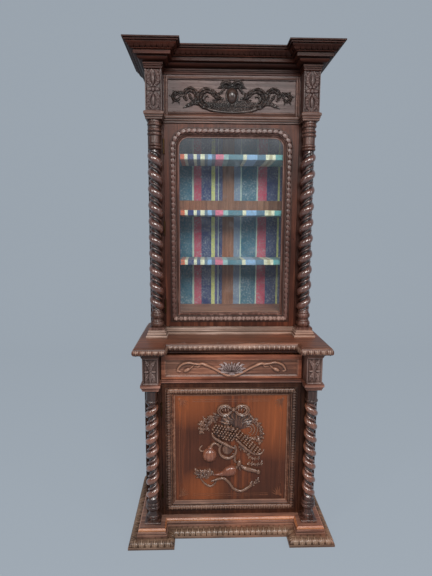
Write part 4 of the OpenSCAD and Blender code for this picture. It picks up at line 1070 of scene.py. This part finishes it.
def panel_boards():
    """Reddish waxed oak in upright boards of different tones, the panel of the lower door."""
    made, tree = material("panel_boards")
    place = tree.place()
    x, z = tree.part(place, "X"), tree.part(place, "Z")
    grain = tree.squeezed(place, (1.0, 1.0, 0.05))
    board = tree.node("ShaderNodeTexNoise", {"noise_dimensions": "1D"}, {
        "W": (x * 9.5).floor() * 3.7 + 1.3, "Scale": 1.0, "Detail": 0.0})
    seam = abs((x * 9.5).fraction() - 0.5) * 2
    figure = tree.noise(grain, 70.0, 4.0, 0.6, 0.5)
    streak = tree.noise(grain, 260.0, 3.0, 0.6)
    cloud = tree.noise(place, 4.5, 3.0, 0.5)
    tone = board.between(0.3, 0.7) * 0.45 + figure.between(0.3, 0.7) * 0.35 + cloud * 0.3
    shade = tree.mix(tone.between(0.1, 0.6), paint("#31190f"), paint("#522c1d"))
    shade = tree.mix(tone.between(0.62, 1.0), shade, paint("#96502c"))
    shade = tree.mix(streak.between(0.5, 0.8) * 0.35, shade, paint("#3c2013"))
    shade = tree.mix(seam.between(0.965, 0.995) * 0.6, shade, paint("#24120b"))
    for at_x, at_z, reach in ((0.26, 0.60, 0.26), (-0.19, 0.72, 0.20), (-0.14, 0.20, 0.15)):
        dx, dz = x - at_x, z - at_z
        redder = (1 - (dx * dx + dz * dz) / reach ** 2).between(0.1, 1.0)
        shade = tree.mix(redder * (0.3 + 0.4 * figure), shade, paint("#a65a30"))
    darker = (1 - z.between(0.18, 0.30)) * x.between(-0.09, -0.05) * 0.4
    shade = tree.mix(darker, shade, paint("#3c2317"))
    height = figure * 0.5 + streak * 0.4 - seam ** 24
    tree.principled({
        "Base Color": shade, "Roughness": 0.28 + cloud * 0.16,
        "Normal": tree.bump(height, 0.35, 0.001), "Specular IOR Level": 0.3})
    return made


dress(panel_boards(), "lower_door_panel")

# Trophy: a relief carved in oak on the lower door's panel. A ribbon bow hangs over a basket of
# leaves, fruit and ears of corn, with a gourd, a strap, a horn, a flute and a long ribbon below.
PANEL_FACE = LOW_PLANE + DOOR_DROP
trophy_oak = oak("trophy", "#26130b #4e2d1d #9c7660", "Z", wear_and_painted_highlight=0.65, gloss=0.18, shine=0.75,
                 hollow=0.6)
horn_oak = oak("horn", "#3a1c11 #7a4632 #a06c54", "Z", wear_and_painted_highlight=0.2, shine=0.3, hollow=0.4, coat=0.9)
trophy = Carving(-212, 196, 186, 694, 2.0)
BOW_X = 11


def garland(points, count, size, rise=9.0):
    """Small leaves set in pairs along a stem."""
    path, _ = smooth(points)
    trophy.stroke(points, (3, 5, 3), (rise * 0.7, rise * 0.9, rise * 0.6))
    for k in range(count):
        i = int((k + 0.3) / count * (len(path) - 2))
        way = atan2(path[i + 1][1] - path[i][1], path[i + 1][0] - path[i][0])
        for side in (-1, 1):
            lean = way + side * (0.75 + 0.25 * sin(2.3 * k))
            reach = size * (0.85 + 0.2 * sin(1.7 * k + side))
            trophy.stroke([tuple(path[i]), off(*path[i], reach, reach, lean)],
                          (size * 0.15, size * 0.3, size * 0.26, 2),
                          (rise * 0.6, rise, rise, 3), 0.2)


trophy.boss(30, 582, 84, 46, 4)
for k in range(9):
    a = radians(12 + 19 * k)
    trophy.stroke([off(30, 566, 24, 20, a), off(30, 566, 62, 44, a + 0.1), off(30, 566, 96, 68, a)],
                  (3, 6, 2), (6, 9, 5), 0.3)
for x, z, lean, size in ((-70, 612, 205, 52), (-96, 596, 150, 46), (-112, 574, 230, 50),
                         (-134, 566, 175, 44), (-132, 592, 120, 36), (-84, 578, 265, 40),
                         (-146, 540, 250, 44), (-120, 544, 300, 36), (88, 612, -30, 46),
                         (118, 590, 20, 40), (136, 560, -70, 46), (150, 522, -100, 44),
                         (140, 490, -60, 36), (-120, 296, 185, 56), (-140, 312, 150, 46),
                         (-150, 288, 205, 48), (-172, 300, 175, 38), (-108, 312, 130, 34)):
    a, half = radians(lean), size / 2
    trophy.stroke([off(x, z, -half, -half, a), off(x, z, size / 5, size / 5, a + 0.4),
                   off(x, z, half, half, a)], (3, size * 0.22, 3), (6, 11, 4), 0.4, 0.12, 12)
for side in (-1, 1):
    loop = [(8, 648), (30, 664), (58, 662), (73, 643), (60, 621), (32, 619), (10, 634)]
    trophy.stroke([(BOW_X + side * x, z) for x, z in loop], (7, 10, 12, 13, 12, 10, 7),
                  (10, 14, 15, 14, 14, 12, 9), 0.3)
    for x in (24, 38, 52):
        trophy.stroke([(BOW_X + side * x, 634), (BOW_X + side * x + side * 4, 650)], (3, 5, 3),
                      (5, 9, 5))
trophy.boss(BOW_X, 646, 11, 13, 17)
garland([(-54, 630), (-84, 612), (-116, 600), (-146, 578), (-158, 548), (-150, 520)], 9, 24)
garland([(-70, 606), (-96, 584), (-124, 566), (-132, 540)], 6, 22, 8.0)
garland([(78, 626), (98, 600), (128, 580), (150, 548), (160, 510), (150, 470)], 10, 22)
for start, end, angle in ((48, 40, -40), (34, 26, -60), (20, 12, -80)):
    trophy.stroke(spiral(88, 540, start, end, angle, 200, 18), (3, 5, 3), (5, 7, 5))
trophy.boss(-30, 520, 66, 40, 6, -20)
for row in range(7):
    for k in range(9):
        x, z = -92 + 15 * k + 7 * (row % 2), 568 - 13 * row - 3.4 * k
        if ((x + 28) / 66) ** 2 + ((z - 526 + 0.3 * (x + 28)) / 40) ** 2 < 1:
            trophy.boss(x, z, 8.4, 7.6, 15 + 2 * sin(2.1 * k + row), 20)
for k in range(6):
    trophy.stroke([(-2, 548), off(-2, 548, 21, 18, radians(60 * k + 20))], (4, 6, 3),
                  (12, 17, 8))
trophy.stroke([(-96, 520), (-88, 500), (-64, 482), (-36, 466), (-8, 450), (20, 436)],
              (6, 9, 10, 10, 9, 7), (10, 15, 17, 17, 15, 10))
for row in range(4):
    for k in range(10):
        trophy.boss(14 + 13 * k + 6 * row, 520 - 12.5 * k + 8 * row, 8.6, 5.6, 15 - row, -25)
trophy.stroke([(12, 500), (50, 462), (92, 424), (128, 400)], (6, 9, 9, 5), (9, 12, 12, 8))
garland([(60, 500), (96, 494), (128, 486), (150, 462)], 6, 20, 10.0)
garland([(40, 452), (66, 430), (100, 418)], 5, 22, 10.0)
trophy.strokes(
    ([(118, 414), (136, 404), (156, 408), (170, 426)], (5, 8, 7, 3), (8, 11, 9, 4)),
    ([(-104, 440), (-98, 456), (-84, 466), (-66, 460), (-58, 446)], (9, 8, 8, 8, 6),
     (14, 14, 12, 12, 8)),
    (spiral(-16, 428, 43, 43, 140, 250, 24), (7, 9, 10, 7), (9, 13, 13, 8)),
    ([(-146, 452), (-160, 436), (-150, 422), (-132, 426)], (3, 5, 5, 3), (4, 6, 6, 4)),
    ([(12, 408), (20, 392), (20, 372), (34, 356)], (6, 8, 8, 7), (8, 11, 11, 9)),
    ([(54, 340), (72, 330), (98, 322), (124, 314), (142, 308)], (9, 14, 14, 12, 10),
     (12, 18, 18, 15, 12)))
trophy.boss(-16, 432, 30, 29, 13)
trophy.boss(42, 356, 13, 22, 18, -15)
trophy.boss(142, 307, 13, 16, 16, 10)
for lean in (-30, 15, 60):
    a = radians(lean - 90)
    trophy.stroke([(40, 352), off(40, 350, 22, 22, a), off(40, 346, 38, 32, a)], (7, 9, 4),
                  (11, 12, 6))
garland([(84, 352), (110, 350), (138, 346), (164, 352)], 5, 18, 8.0)
garland([(84, 408), (98, 388), (120, 378), (148, 380)], 5, 16, 7.0)
garland([(-88, 300), (-116, 308), (-148, 306), (-184, 312)], 7, 26)
garland([(-110, 286), (-140, 282), (-170, 288)], 5, 20, 8.0)
trophy.strokes(
    ([(-156, 276), (-134, 246), (-108, 230), (-88, 238), (-74, 258)], (4, 6, 7, 6, 5),
     (5, 8, 9, 8, 6)),
    ([(-98, 258), (-80, 264), (-58, 272), (-34, 272), (-8, 250), (16, 216), (50, 202), (86, 216),
      (108, 236)], (6, 8, 8, 9, 9, 9, 9, 9, 8), (8, 11, 12, 12, 12, 12, 12, 11, 9)))
garland([(100, 228), (122, 244), (146, 258)], 5, 20, 8.0)
horn = Carving(-104, 30, 270, 352, 2.0)
horn.stroke([(-88, 292), (-60, 296), (-36, 302), (-12, 310), (4, 316)], (5, 8, 14, 25, 29),
            (8, 12, 17, 23, 24))
gourd = Carving(-150, -66, 360, 456, 2.0)
gourd.boss(-109, 404, 37, 39, 32)
gourd.boss(-106, 436, 15, 17, 20, 12)
relief = Joinery()
trophy.applied(relief, PANEL_FACE)
horn.applied(relief, PANEL_FACE, 0.5, 1)
gourd.applied(relief, PANEL_FACE, 0.5, 1)
relief.make("lower_door_trophy", "lower_door", "oak_red", [trophy_oak, horn_oak],
            ["lower_door_carving"])

# Border of the panel: two fine raised lines along each side, with a small spray of carved leaves
# in each corner. All of it is low and lies on the boards.
PANEL_MIDDLE, CORNER = 437, 262
EDGE_LEFT, EDGE_RIGHT, EDGE_LOW, EDGE_HIGH = -284, 282, 153, 720
LINES_HALF, LINES_LOW, LINES_HIGH, LINE_PROUD = 196, 240, 634, [0.62, 0.62]
spray_oak = oak("spray", "#3a1f13 #6a3e28 #94603f", "Z", wear_and_painted_highlight=0.8, hollow=0.6)
border = Joinery()
for sx in (-1, 1):
    for sz in (-1, 1):
        fan = Carving(*sorted((sx * 272, sx * 200)),
                      *sorted((PANEL_MIDDLE + sz * 274, PANEL_MIDDLE + sz * 196)), 1.5)
        x, z = sx * CORNER, PANEL_MIDDLE + sz * CORNER
        for k in range(5):
            a = radians(10 + 17 * k)
            fan.stroke([(x, z), off(x, z, -sx * 24, -sz * 24, a),
                        off(x, z, -sx * 50, -sz * 50, a + 0.12)], (2, 5, 2), (1, 3.2, 1), 0.4,
                       0.2, 8)
        fan.boss(x, z, 8, 8, 3)
        fan.applied(border, PANEL_FACE, 0.3)
line_section = [(-1, 0), (-0.7, 0.7), (0.0, 1.0), (0.7, 0.7), (1.0, 0)]
for inset in (22, 32):
    for z in (EDGE_HIGH - inset, EDGE_LOW + inset):
        border.skin([[(x, PANEL_FACE + 0.2 - q, z + p) for p, q in line_section]
                     for x in (-LINES_HALF, LINES_HALF)], LINE_PROUD)
    for x in (EDGE_LEFT + inset, EDGE_RIGHT - inset):
        border.skin([[(x + p, PANEL_FACE + 0.2 - q, z) for p, q in line_section]
                     for z in (LINES_LOW, LINES_HIGH)], LINE_PROUD)
border.make("lower_door_border", "lower_door", "oak_red", [spray_oak])

# Upper base: the moulded oak step on the counter on which the vitrine stands. It breaks forward
# under the upper columns and has dulled to a dusty brown.
UP_PLANE, UP_FRONT = 26.0, -51.4
UP_OUT, UP_IN, UP_OPEN, UP_INSIDE = 416.2, 338.8, 339.2, 394.2
UP_BLOCK_WIDE, UP_BLOCK_MIDDLE, UP_COLUMN = UP_OUT - UP_IN, -(UP_OUT + UP_IN) / 2, (-378.8, -12.7)
BASE_AT, BASE_HIGH, BASE_OUT = 998.0, 38.0, 15.0
base_oak = oak("base", "#38251e #826859 #c4aba0", wear_and_painted_highlight=0.9, gloss=0.28, hollow=0.7)
base_section = sized([(1, 0), (1, 0.22), (0.87, 0.26), (0.62, 0.36), (0.62, 0.60), (0.40, 0.66),
                      (0.40, 0.84), (0.20, 0.88), (0.14, 1)], BASE_OUT, BASE_HIGH)
base_ring = break_front(UP_OUT, UP_IN, UP_FRONT, UP_PLANE, BACK)
moulding(Joinery(), base_section, base_ring, BASE_AT).make(
    "upper_base_step", "case", "oak", [base_oak], ["upper_base"])

# Vitrine: waxed oak posts and side panels, a floor and a ceiling, and a framed back whose four
# panels are lined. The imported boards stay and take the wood.
ARCH_AT = 2066.0
dress(oak("up_upright", "#1e0d09 #341910 #502b1e", "Z", shine=0.2), "upper_side_left",
      "upper_side_right", "upper_post_left", "upper_post_right")
dress(oak("up_cross", "#200f0b #371c14 #542f22"), "vitrine_ceiling")
dress(oak("inner", "#6a3e2a #a9735b #cf9a80", gloss=0.42), "vitrine_floor", "shelf_low",
      "shelf_middle", "shelf_high")
dress(oak("inner_upright", "#57352a #8f604b #b5856d", "Z", gloss=0.42), "upper_back")

up_twist_oak = oak("up_twist", "#1a0b08 #3c1d16 #724a3c", "Z", wear_and_painted_highlight=0.55, gloss=0.2, shine=0.9,
                   coat=0.9)
up_turned_oak = oak("up_turned", "#200f0c #43291f #82625a", "Z", wear_and_painted_highlight=0.7, gloss=0.22)
column("upper", UP_COLUMN, UP_BLOCK_WIDE, BASE_AT + BASE_HIGH, ARCH_AT, up_foot, up_head, -1,
       "oak_dark", [up_twist_oak, up_turned_oak], {
           "Radius": 0.0364, "Turns": 10.0, "Groove": 0.0185, "Bead": 0.0110, "Bead At": 0.79,
           "Bead Half": 0.085})

# Lining: four sheets of a striped velvet, cut to the panels of the back and stretched flat on
# them. Its stripes run upright and differ between the left and the right pair.
TEAL, SNOW, CRIMSON = "#34708a", "#d0e2d2", "#d04c6a"
NAVY, BUTTER, PLUM, MIST = "#364078", "#eaea90", "#5a5a90", "#8090ae"


def striped_cloth(name, stripes, span, pale=1.0):
    """Velvet woven in stripes along x, with a short pile that catches the light unevenly. Where
    its pile is pressed flat it is painted pale by the share pale: crush marks, and a painted sheen."""
    made, tree = material(name)
    place = tree.place()
    wobble = tree.noise(place, 26.0, 2.0)
    low, high = (s / METRE for s in span)
    share = ((tree.part(place, "X") + (wobble - 0.5) * 0.0025) - low) / (high - low)
    stops = [((start - span[0]) / (span[1] - span[0]), paint(shade)) for start, shade in stripes]
    woven = tree.node("ShaderNodeValToRGB", {"interpolation": "CONSTANT", "stops": stops},
                      {"Fac": share})
    pile = tree.noise(place, 95.0, 5.0, 0.7)
    crush = tree.noise(place, 11.0, 3.0, 0.6, 0.8)
    thread = tree.noise(place, 900.0, 1.0)
    shade = tree.mix(pile.between(0.35, 0.7) * 0.5, woven, (0.0, 0.0, 0.0, 1.0))
    # Patches of pressed pile are painted pale grey: crush marks, and a painted sheen on the pile.
    crush_marks_and_sheen = crush.between(0.3, 0.7) * (0.2 + 0.8 * pile.between(0.5, 0.6)) * 0.7 * pale
    shade = tree.mix(crush_marks_and_sheen, shade, paint("#c8ccd0"))
    tree.principled({
        "Base Color": shade, "Roughness": 0.78 + thread * 0.15,
        "Normal": tree.bump(pile * 0.6 + thread * 0.4, 0.4, 0.0012), "Sheen Weight": 0.35,
        "Sheen Roughness": 0.4})
    return made


lining_left = striped_cloth("lining_left_cloth", [
    (-340, PLUM), (-273, TEAL), (-205, SNOW), (-195, CRIMSON), (-153, NAVY), (-96, BUTTER),
    (-76, PLUM), (-58, SNOW), (-54, NAVY)], (-340, -30))
lining_right = striped_cloth("lining_right_cloth", [
    (30, MIST), (68, SNOW), (75, TEAL), (160, SNOW), (168, CRIMSON), (218, NAVY), (281, BUTTER),
    (292, PLUM)], (30, 340))
LINING_FACE, LINING_BACK, LINING_NEAR, LINING_FAR = 283.8, 285.0, 32.8, 333.9
BAYS = {"low": (1113.3, 1619.7), "high": (1707.3, 2065.7)}


def thin_sheet(low, high, cells=12):
    """A flat sheet with a fine grid on its front and one flat face behind, so that it is one
    closed piece of cloth.
    """
    board = Carving(low[0], high[0], low[2], high[2], (high[0] - low[0]) / cells)
    return board.slab(Joinery(), low[1], high[1])


for side, x0, x1, finish in (("left", -LINING_FAR, -LINING_NEAR, lining_left),
                             ("right", LINING_NEAR, LINING_FAR, lining_right)):
    for bay, (z0, z1) in BAYS.items():
        cloth = thin_sheet((x0, LINING_FACE, z0), (x1, LINING_BACK, z1)).make(
            f"lining_{bay}_{side}", "case", "striped_cloth", [finish], ["back_lining"])

# Shelf covers: one strip of a brighter striped cloth for each shelf, folded over its front edge
# and laid along its top and its underside.
ROSE, SKY, CREAM, SEA, EMBER = "#f0809c", "#9cc0ea", "#fcf4d4", "#6cb2b4", "#ee7450"
edge_cloth = striped_cloth("edge_cloth", [
    (-400, NAVY), (-345, CREAM), (-320, TEAL), (-262, EMBER), (-240, CREAM), (-224, NAVY),
    (-192, CREAM), (-178, "#5d6a94"), (-158, CREAM), (-136, "#76889c"), (-120, SKY),
    (-98, "#6f7896"), (-80, ROSE), (-40, "#a9c6c6"), (-14, "#5f8899"), (60, CREAM), (80, SKY),
    (132, "#5f809a"), (176, CREAM), (196, "#cfc29a"), (212, CREAM), (226, SEA), (290, CREAM),
    (310, NAVY), (350, SEA)], (-400, 400), 0.5)
CLOTH, ROUND_EDGE, SHELF_THICK = 1.2, 4.0, 27.4
SHELF_FRONT, SHELF_BACK, SHELF_HALF = 59.0, 281.7, 393.2
for name, low in (("shelf_low", 1360.0), ("shelf_middle", 1617.0), ("shelf_high", 1897.0)):
    high = low + SHELF_THICK
    outer = [(SHELF_BACK, low), (SHELF_FRONT + ROUND_EDGE, low)]
    outer += [(SHELF_FRONT + ROUND_EDGE * (1 - sin(t)), low + ROUND_EDGE * (1 - cos(t)))
              for t in np.linspace(0.3, pi / 2, 4)]
    outer += [(y, low + high - z) for y, z in outer[::-1]]
    inner = [(SHELF_BACK, low + CLOTH), (SHELF_FRONT + CLOTH, low + CLOTH),
             (SHELF_FRONT + CLOTH, high - CLOTH), (SHELF_BACK, high - CLOTH)]
    strip = [*outer, *inner[::-1]]
    cover = Joinery()
    spans = np.linspace(-SHELF_HALF, SHELF_HALF, 41)
    cover.skin([[(x, y, z) for y, z in strip] for x in spans], np.full(len(spans), 0.5))
    cloth = cover.make(f"{name}_cover", "case", "striped_cloth", [edge_cloth], ["shelf_covers"])

# Glazed door: an oak frame with a carved moulding round its pane, whose upper corners are round.
# The old glass is faintly uneven, and oak beads behind hold it.
UP_MOULD = dict(half=309.5, low=1063.5, high=2045.5, radius=95.0)
UP_RISE = 10.0
up_mould_oak = oak("up_mould", "#26130e #4c3027 #8e6e64", "Z", wear_and_painted_highlight=0.9, gloss=0.26, shine=0.35)
laurel_oak = oak("up_mould_leaf", "#26140f #4a2c24 #76564e", "Z", wear_and_painted_highlight=0.7, gloss=0.24, shine=0.5,
                 hollow=0.7)
# The foot garland takes a paler copy of the leaf's oak: a painted highlight on its bevel that faces
# up.
laurel_foot_highlit_oak = oak("up_foot_leaf_highlit", "#38221b #6e5248 #bca096", "Z", wear_and_painted_highlight=1.0, gloss=0.26,
                      hollow=0.5)
dress(oak("up_frame", "#26110b #4a261a #764530", "Z", shine=0.22), "upper_door_frame",
      "glass_beads")
door_moulding("upper_door_mould", "upper_door", "oak_dark", up_mould_oak,
              ["upper_door_moulding"], face=UP_PLANE, rise=UP_RISE, **UP_MOULD)
laurel = carved_leaf("laurel_leaf", 21, 38, 3.6, 4, turn=-76)
laurel_foot = carved_leaf("laurel_foot_leaf", 27, 26, 3.6, 3, 0.55, turn=180)
for name, leaf, spacing, sides, leaf_finish in (
        ("garland", laurel, 27, (4,), laurel_oak),
        ("foot_garland", laurel_foot, 23, (0,), laurel_foot_highlit_oak)):
    door_row("upper_door_" + name, "upper_door", "oak_dark", leaf_finish, leaf, spacing, sides,
             UP_PLANE - UP_RISE + LEAF_SUNK, **UP_MOULD)


def old_glass():
    """Clear drawn glass: its near face mirrors the room at a slant and it lets the rest through.
    A thin film of dust, a little thicker towards the top, pales what lies behind."""
    made, tree = material("old_glass")
    place = tree.place()
    clear = tree.node("ShaderNodeBsdfTransparent", {}, {"Color": (0.93, 0.96, 0.955, 1.0)})
    gloss = tree.node("ShaderNodeBsdfGlossy", {}, {
        "Color": (1, 1, 1, 1), "Roughness": 0.03,
        "Normal": tree.bump(tree.noise(place, 3.0, 2.0), 0.06, 0.004)})
    mirrored = tree.node("ShaderNodeFresnel", {}, {"IOR": 1.5})
    entering = 1 - tree.node("ShaderNodeNewGeometry", out="Backfacing")
    film = tree.node("ShaderNodeBsdfDiffuse", {}, {"Color": paint("#d8dce4")})
    speck = tree.noise(place, 9.0, 4.0, 0.6, 1.2).between(0.55, 0.75)
    dust = 0.012 + tree.part(place, "Z").between(1.85, 2.0) * 0.05 + speck * 0.03
    tree.surface(tree.blend(dust, tree.blend(mirrored * entering, clear, gloss), film))
    return made


dress(old_glass(), "door_glass")

# Architrave: the oak moulding between the glazed door and the frieze. It breaks forward over the
# upper columns.
ARCH_HIGH, ARCH_OUT = 36.0, 9.0
arch_oak = oak("architrave", "#200f0b #42281f #86665a", wear_and_painted_highlight=0.8, gloss=0.26, shine=0.3)
arch_section = sized([(0.06, 0), (0.20, 0.05), (0.20, 0.25), (0.30, 0.28)]
                     + curve((0.32, 0.29), (0.55, 0.38), "round", 5) + [(0.55, 0.52)]
                     + curve((0.62, 0.56), (1, 0.70), "round", 6) + [(1, 0.88), (0.70, 1)],
                     ARCH_OUT, ARCH_HIGH)


def arch_ring(p):
    return break_front(UP_OUT, UP_IN, UP_FRONT, UP_PLANE, UP_PLANE)(p) + [
        (UP_OPEN, UP_PLANE), (UP_OPEN, UP_PLANE + POST), (-UP_OPEN, UP_PLANE + POST),
        (-UP_OPEN, UP_PLANE)]


moulding(Joinery(), arch_section, arch_ring, ARCH_AT).make(
    "architrave_moulding", "case", "oak", [arch_oak], ["architrave"])

# Blocks beside the frieze: square oak blocks over the upper columns. Each is carved with a tulip
# leaf above a knotted band and the same leaf turned over below it.
FRIEZE_AT, FRIEZE_TOP = 2102.0, 2302.0
up_block_oak = oak("up_block", "#241512 #3e2b28 #70605c", "Z", wear_and_painted_highlight=0.8, gloss=0.28, shine=0.35,
                   hollow=0.5)
tulip = Carving(-UP_OUT, -UP_IN, FRIEZE_AT, FRIEZE_TOP, 1.5)
tulip.sink(-UP_OUT + 3, -UP_IN - 3, FRIEZE_AT + 4, FRIEZE_TOP - 4, 5.0, 4.0)
x, z, leaf_base, band_base = UP_BLOCK_MIDDLE, 2200.0, -5, -6
for way in (-1, 1):
    tulip.boss(x, z + way * 48, 8, 27, 10, base=leaf_base)
    tulip.strokes(
        ([(x + 8, z + way * 18), (x + 23, z + way * 40), (x + 20, z + way * 68),
          (x + 7, z + way * 88)], (8, 12, 11, 4), (6, 9, 8, 4), 0, 0.12, 15, leaf_base),
        ([(x + 29, z + way * 60), (x + 32, z + way * 90)], (4, 6, 3), (4, 6, 3), 0, 0.1, 12,
         leaf_base))
tulip.boss(x + 17, z, 14, 9, 8, base=band_base)
tulip.boss(x, z, 9, 12, 11, base=band_base)
tulip.mirror()
tulip.slab(Joinery(), UP_FRONT, UP_PLANE).make_pair(
    "upper_block_carved_{}", "oak_dark", [up_block_oak], "upper_block_{}")

# Frieze: an oak board with a sunk field. Its carving has a smooth cabochon under a crest, two
# large scrolls that open towards it, and smaller leafy scrolls out to pointed ends.
FRIEZE_FACE = UP_PLANE + 8.0
frieze_oak = oak("frieze", "#0b0504 #120e0c #564640", wear_and_painted_highlight=0.45, gloss=0.2, shine=0.4, hollow=1.0)
egg_oak = oak("egg", "#1c120f #33241f #5c4a42", shine=0.3, coat=0.7)
dress(oak("frieze_ground", "#281a17 #473330 #7e6e69", shine=0.3), "frieze_panel")
scroll = Carving(-315.4, 315.4, FRIEZE_AT + 0.2, 2271.8, 1.8)
cz = 2196.0
basket = (abs(scroll.x) < 130) & (scroll.z < cz - 18 - 0.0006 * scroll.x ** 2) & (
    scroll.z > cz - 72 + 0.0022 * scroll.x ** 2)
weave = np.cos(scroll.x * 0.35) * np.cos((scroll.z + 0.3 * abs(scroll.x)) * 0.42)
scroll.high = np.where(basket, 4.5 + 2.0 * weave, scroll.high)
scroll.strokes(
    ([(0, cz - 76), (50, cz - 74), (96, cz - 67), (134, cz - 53), (160, cz - 32)],
     (6, 7, 8, 8, 6), (8, 9, 10, 10, 8)),
    ([(0, cz - 42), (0, cz - 74)], (10, 12, 9), (10, 11, 8), 0.4),
    ([(18, cz - 40), (40, cz - 58), (74, cz - 64), (104, cz - 56)], (7, 10, 9, 3), (8, 10, 9, 5),
     0.3, 0.1, 16),
    (spiral(122, cz - 10, 42, 36, -118, 272), (11, 16, 17, 16, 11), (12, 16, 17, 16, 12), 0.5,
     0.1, 30),
    (spiral(124, cz - 12, 17, 12, -70, 200), (6, 8, 8, 5), (9, 12, 11, 7), 0.2),
    ([(94, cz + 24), (80, cz + 4), (62, cz - 8), (44, cz - 10)], (11, 15, 13, 6), (12, 15, 13, 8),
     0.5, 0.1, 26),
    ([(158, cz - 42), (184, cz - 32), (212, cz - 42), (240, cz - 56)], (7, 12, 11, 3),
     (8, 10, 9, 4), 0.3, 0.1, 18),
    (spiral(207, cz + 2, 31, 26, -140, -265), (10, 14, 15, 13, 9), (11, 15, 15, 13, 10), 0.5, 0.1,
     26),
    (spiral(272, cz - 6, 20, 13, 160, -310), (9, 12, 12, 8), (10, 13, 13, 10), 0.5, 0.1, 22),
    ([(238, cz + 8), (252, cz + 16), (268, cz + 18)], (5, 8, 4), (6, 9, 5), 0.3),
    ([(4, cz + 50), (22, cz + 66), (42, cz + 62), (52, cz + 46), (70, cz + 38)],
     (10, 13, 13, 10, 3), (10, 15, 14, 10, 4), 0.3, 0, 14),
    ([(16, cz + 42), (34, cz + 44), (46, cz + 28), (56, cz + 20)], (7, 10, 9, 4), (8, 11, 9, 5),
     0.3))
for x, z, lean, size, wide, rise in (
        (78, cz - 24, 200, 44, 0.24, 10), (58, cz + 14, 170, 34, 0.22, 8),
        (206, cz - 2, 62, 40, 0.26, 10), (186, cz - 22, 10, 34, 0.24, 8),
        (284, cz + 16, 50, 28, 0.22, 9), (298, cz, 12, 28, 0.22, 9),
        (288, cz - 26, -60, 26, 0.22, 9), (262, cz - 30, -110, 24, 0.22, 9)):
    a = radians(lean)
    scroll.stroke([off(x, z, -size / 2, -size / 2, a), off(x, z, size / 2, size / 2, a)],
                  (2, size * wide, size * wide * 0.8, 2), (4, rise, rise, 3), 0.4, 0.08, 14)
scroll.mirror()
scroll.boss(0, cz + 2, 34, 43, 11)
egg = Carving(-32, 32, cz - 40, cz + 44, 2.0)
egg.boss(0, cz + 2, 27, 37, 27)
frieze = Joinery()
scroll.applied(frieze, FRIEZE_FACE)
egg.applied(frieze, FRIEZE_FACE, 0.5, 2)
arch = np.linspace(0, pi, 9)
for middle, half, low in ((321, 5, 5.0), (331, 4, 6.5)):
    for side in (-1, 1):
        frieze.skin([[(side * (middle - half * cos(t)), UP_PLANE + 0.2 - low * sin(t), z)
                      for t in arch] for z in (FRIEZE_AT + 0.3, 2286.0)], [0.7, 0.7], finish=1)
for middle, half, low, face in ((2107, 4.5, 9.0, FRIEZE_FACE), (2117, 4, 5.0, FRIEZE_FACE),
                                (2279, 5, 5.0, UP_PLANE)):
    frieze.skin([[(x, face + 0.2 - low * sin(t), middle - half * cos(t)) for t in arch]
                 for x in (-315.0, 315.0)], [0.7, 0.7], finish=1)
frieze.make("frieze_carved", "case", "oak_dark", [frieze_oak, arch_oak, egg_oak],
            ["frieze_carving"])

# Cornice: the deep oak moulding on top, in a front run and two corners with side returns. A row
# of carved leaves fills the wave near its top edge.
CORNICE_AT, CORNICE_HIGH, CORNICE_OUT = 2302.0, 98.0, 90.0
cornice_oak = oak("cornice", "#140806 #2a140e #4c281d", wear_and_painted_highlight=0.6, shine=0.12)
cornice_leaf_oak = oak("cornice_leaf", "#150907 #28130d #442820", wear_and_painted_highlight=0.7, shine=0.12,
                       hollow=0.3)
cyma_mid = (0.73, 0.725)
cornice_section = sized(
    [(0.02, -0.11), (0.05, -0.09), (0.05, -0.02), (0.03, 0), (0.06, 0.02), (0.06, 0.08),
     (0.09, 0.09), (0.09, 0.17)]
    + curve((0.13, 0.19), (0.36, 0.36), "round") + [(0.48, 0.38), (0.52, 0.40), (0.52, 0.56),
                                                    (0.61, 0.58)]
    + curve((0.62, 0.60), cyma_mid, "hollow", 6) + curve(cyma_mid, (0.84, 0.85), "round", 6)[1:]
    + [(0.92, 0.86), (0.93, 0.92), (1, 0.94), (1, 1)], CORNICE_OUT, CORNICE_HIGH)
cornice_corner = corner(UP_OUT, UP_IN, UP_FRONT, UP_PLANE, BACK, UP_INSIDE, POST)
cornice_middle = front_run(UP_IN, UP_PLANE)
moulding(Joinery(), cornice_section, cornice_corner, CORNICE_AT).make_pair(
    "cornice_{}_corner", "oak_dark", [cornice_oak], "cornice_{}")
moulding(Joinery(), cornice_section, cornice_middle, CORNICE_AT).make(
    "cornice_front_run", "case", "oak_dark", [cornice_oak], ["cornice_front"])
cornice_leaf = carved_leaf("cornice_leaf", 30, 33, 4.0, 3, 0.7)
cornice_rows = both_runs(cornice_corner, cornice_middle, p=66, height=CORNICE_AT + 71, tilt=-42,
                         corner_trim=15, middle_trim=9)
carved_row("cornice_leaves", cornice_rows, cornice_leaf, 24, "case", cornice_leaf_oak)

# Hinges and locks: brass hinges let into the edges of doors and posts, iron locks let into the
# backs of the stiles, and brass bolts that slide in them.


def metal(name, clean, stained, rough):
    made, tree = material(name)
    stain = tree.noise(tree.place(), 60.0, 5.0, 0.65)
    fleck = tree.noise(tree.place(), 420.0, 2.0)
    spot = stain.between(0.45, 0.7)
    tree.principled({
        "Base Color": tree.mix(spot, paint(clean), paint(stained)), "Metallic": 1 - spot * 0.45,
        "Roughness": rough + spot * 0.25 + fleck * 0.08,
        "Normal": tree.bump(fleck, 0.2, 0.0004)})
    return made


dress(metal("old_brass", "#43301a", "#241810", 0.4), "lower_door_hinges", "upper_door_hinges",
      "case_hinge_leaves", "lower_door_bolt", "upper_door_bolt")
dress(metal("lock_iron", "#6a6662", "#453a34", 0.38), "lower_door_lock", "upper_door_lock")
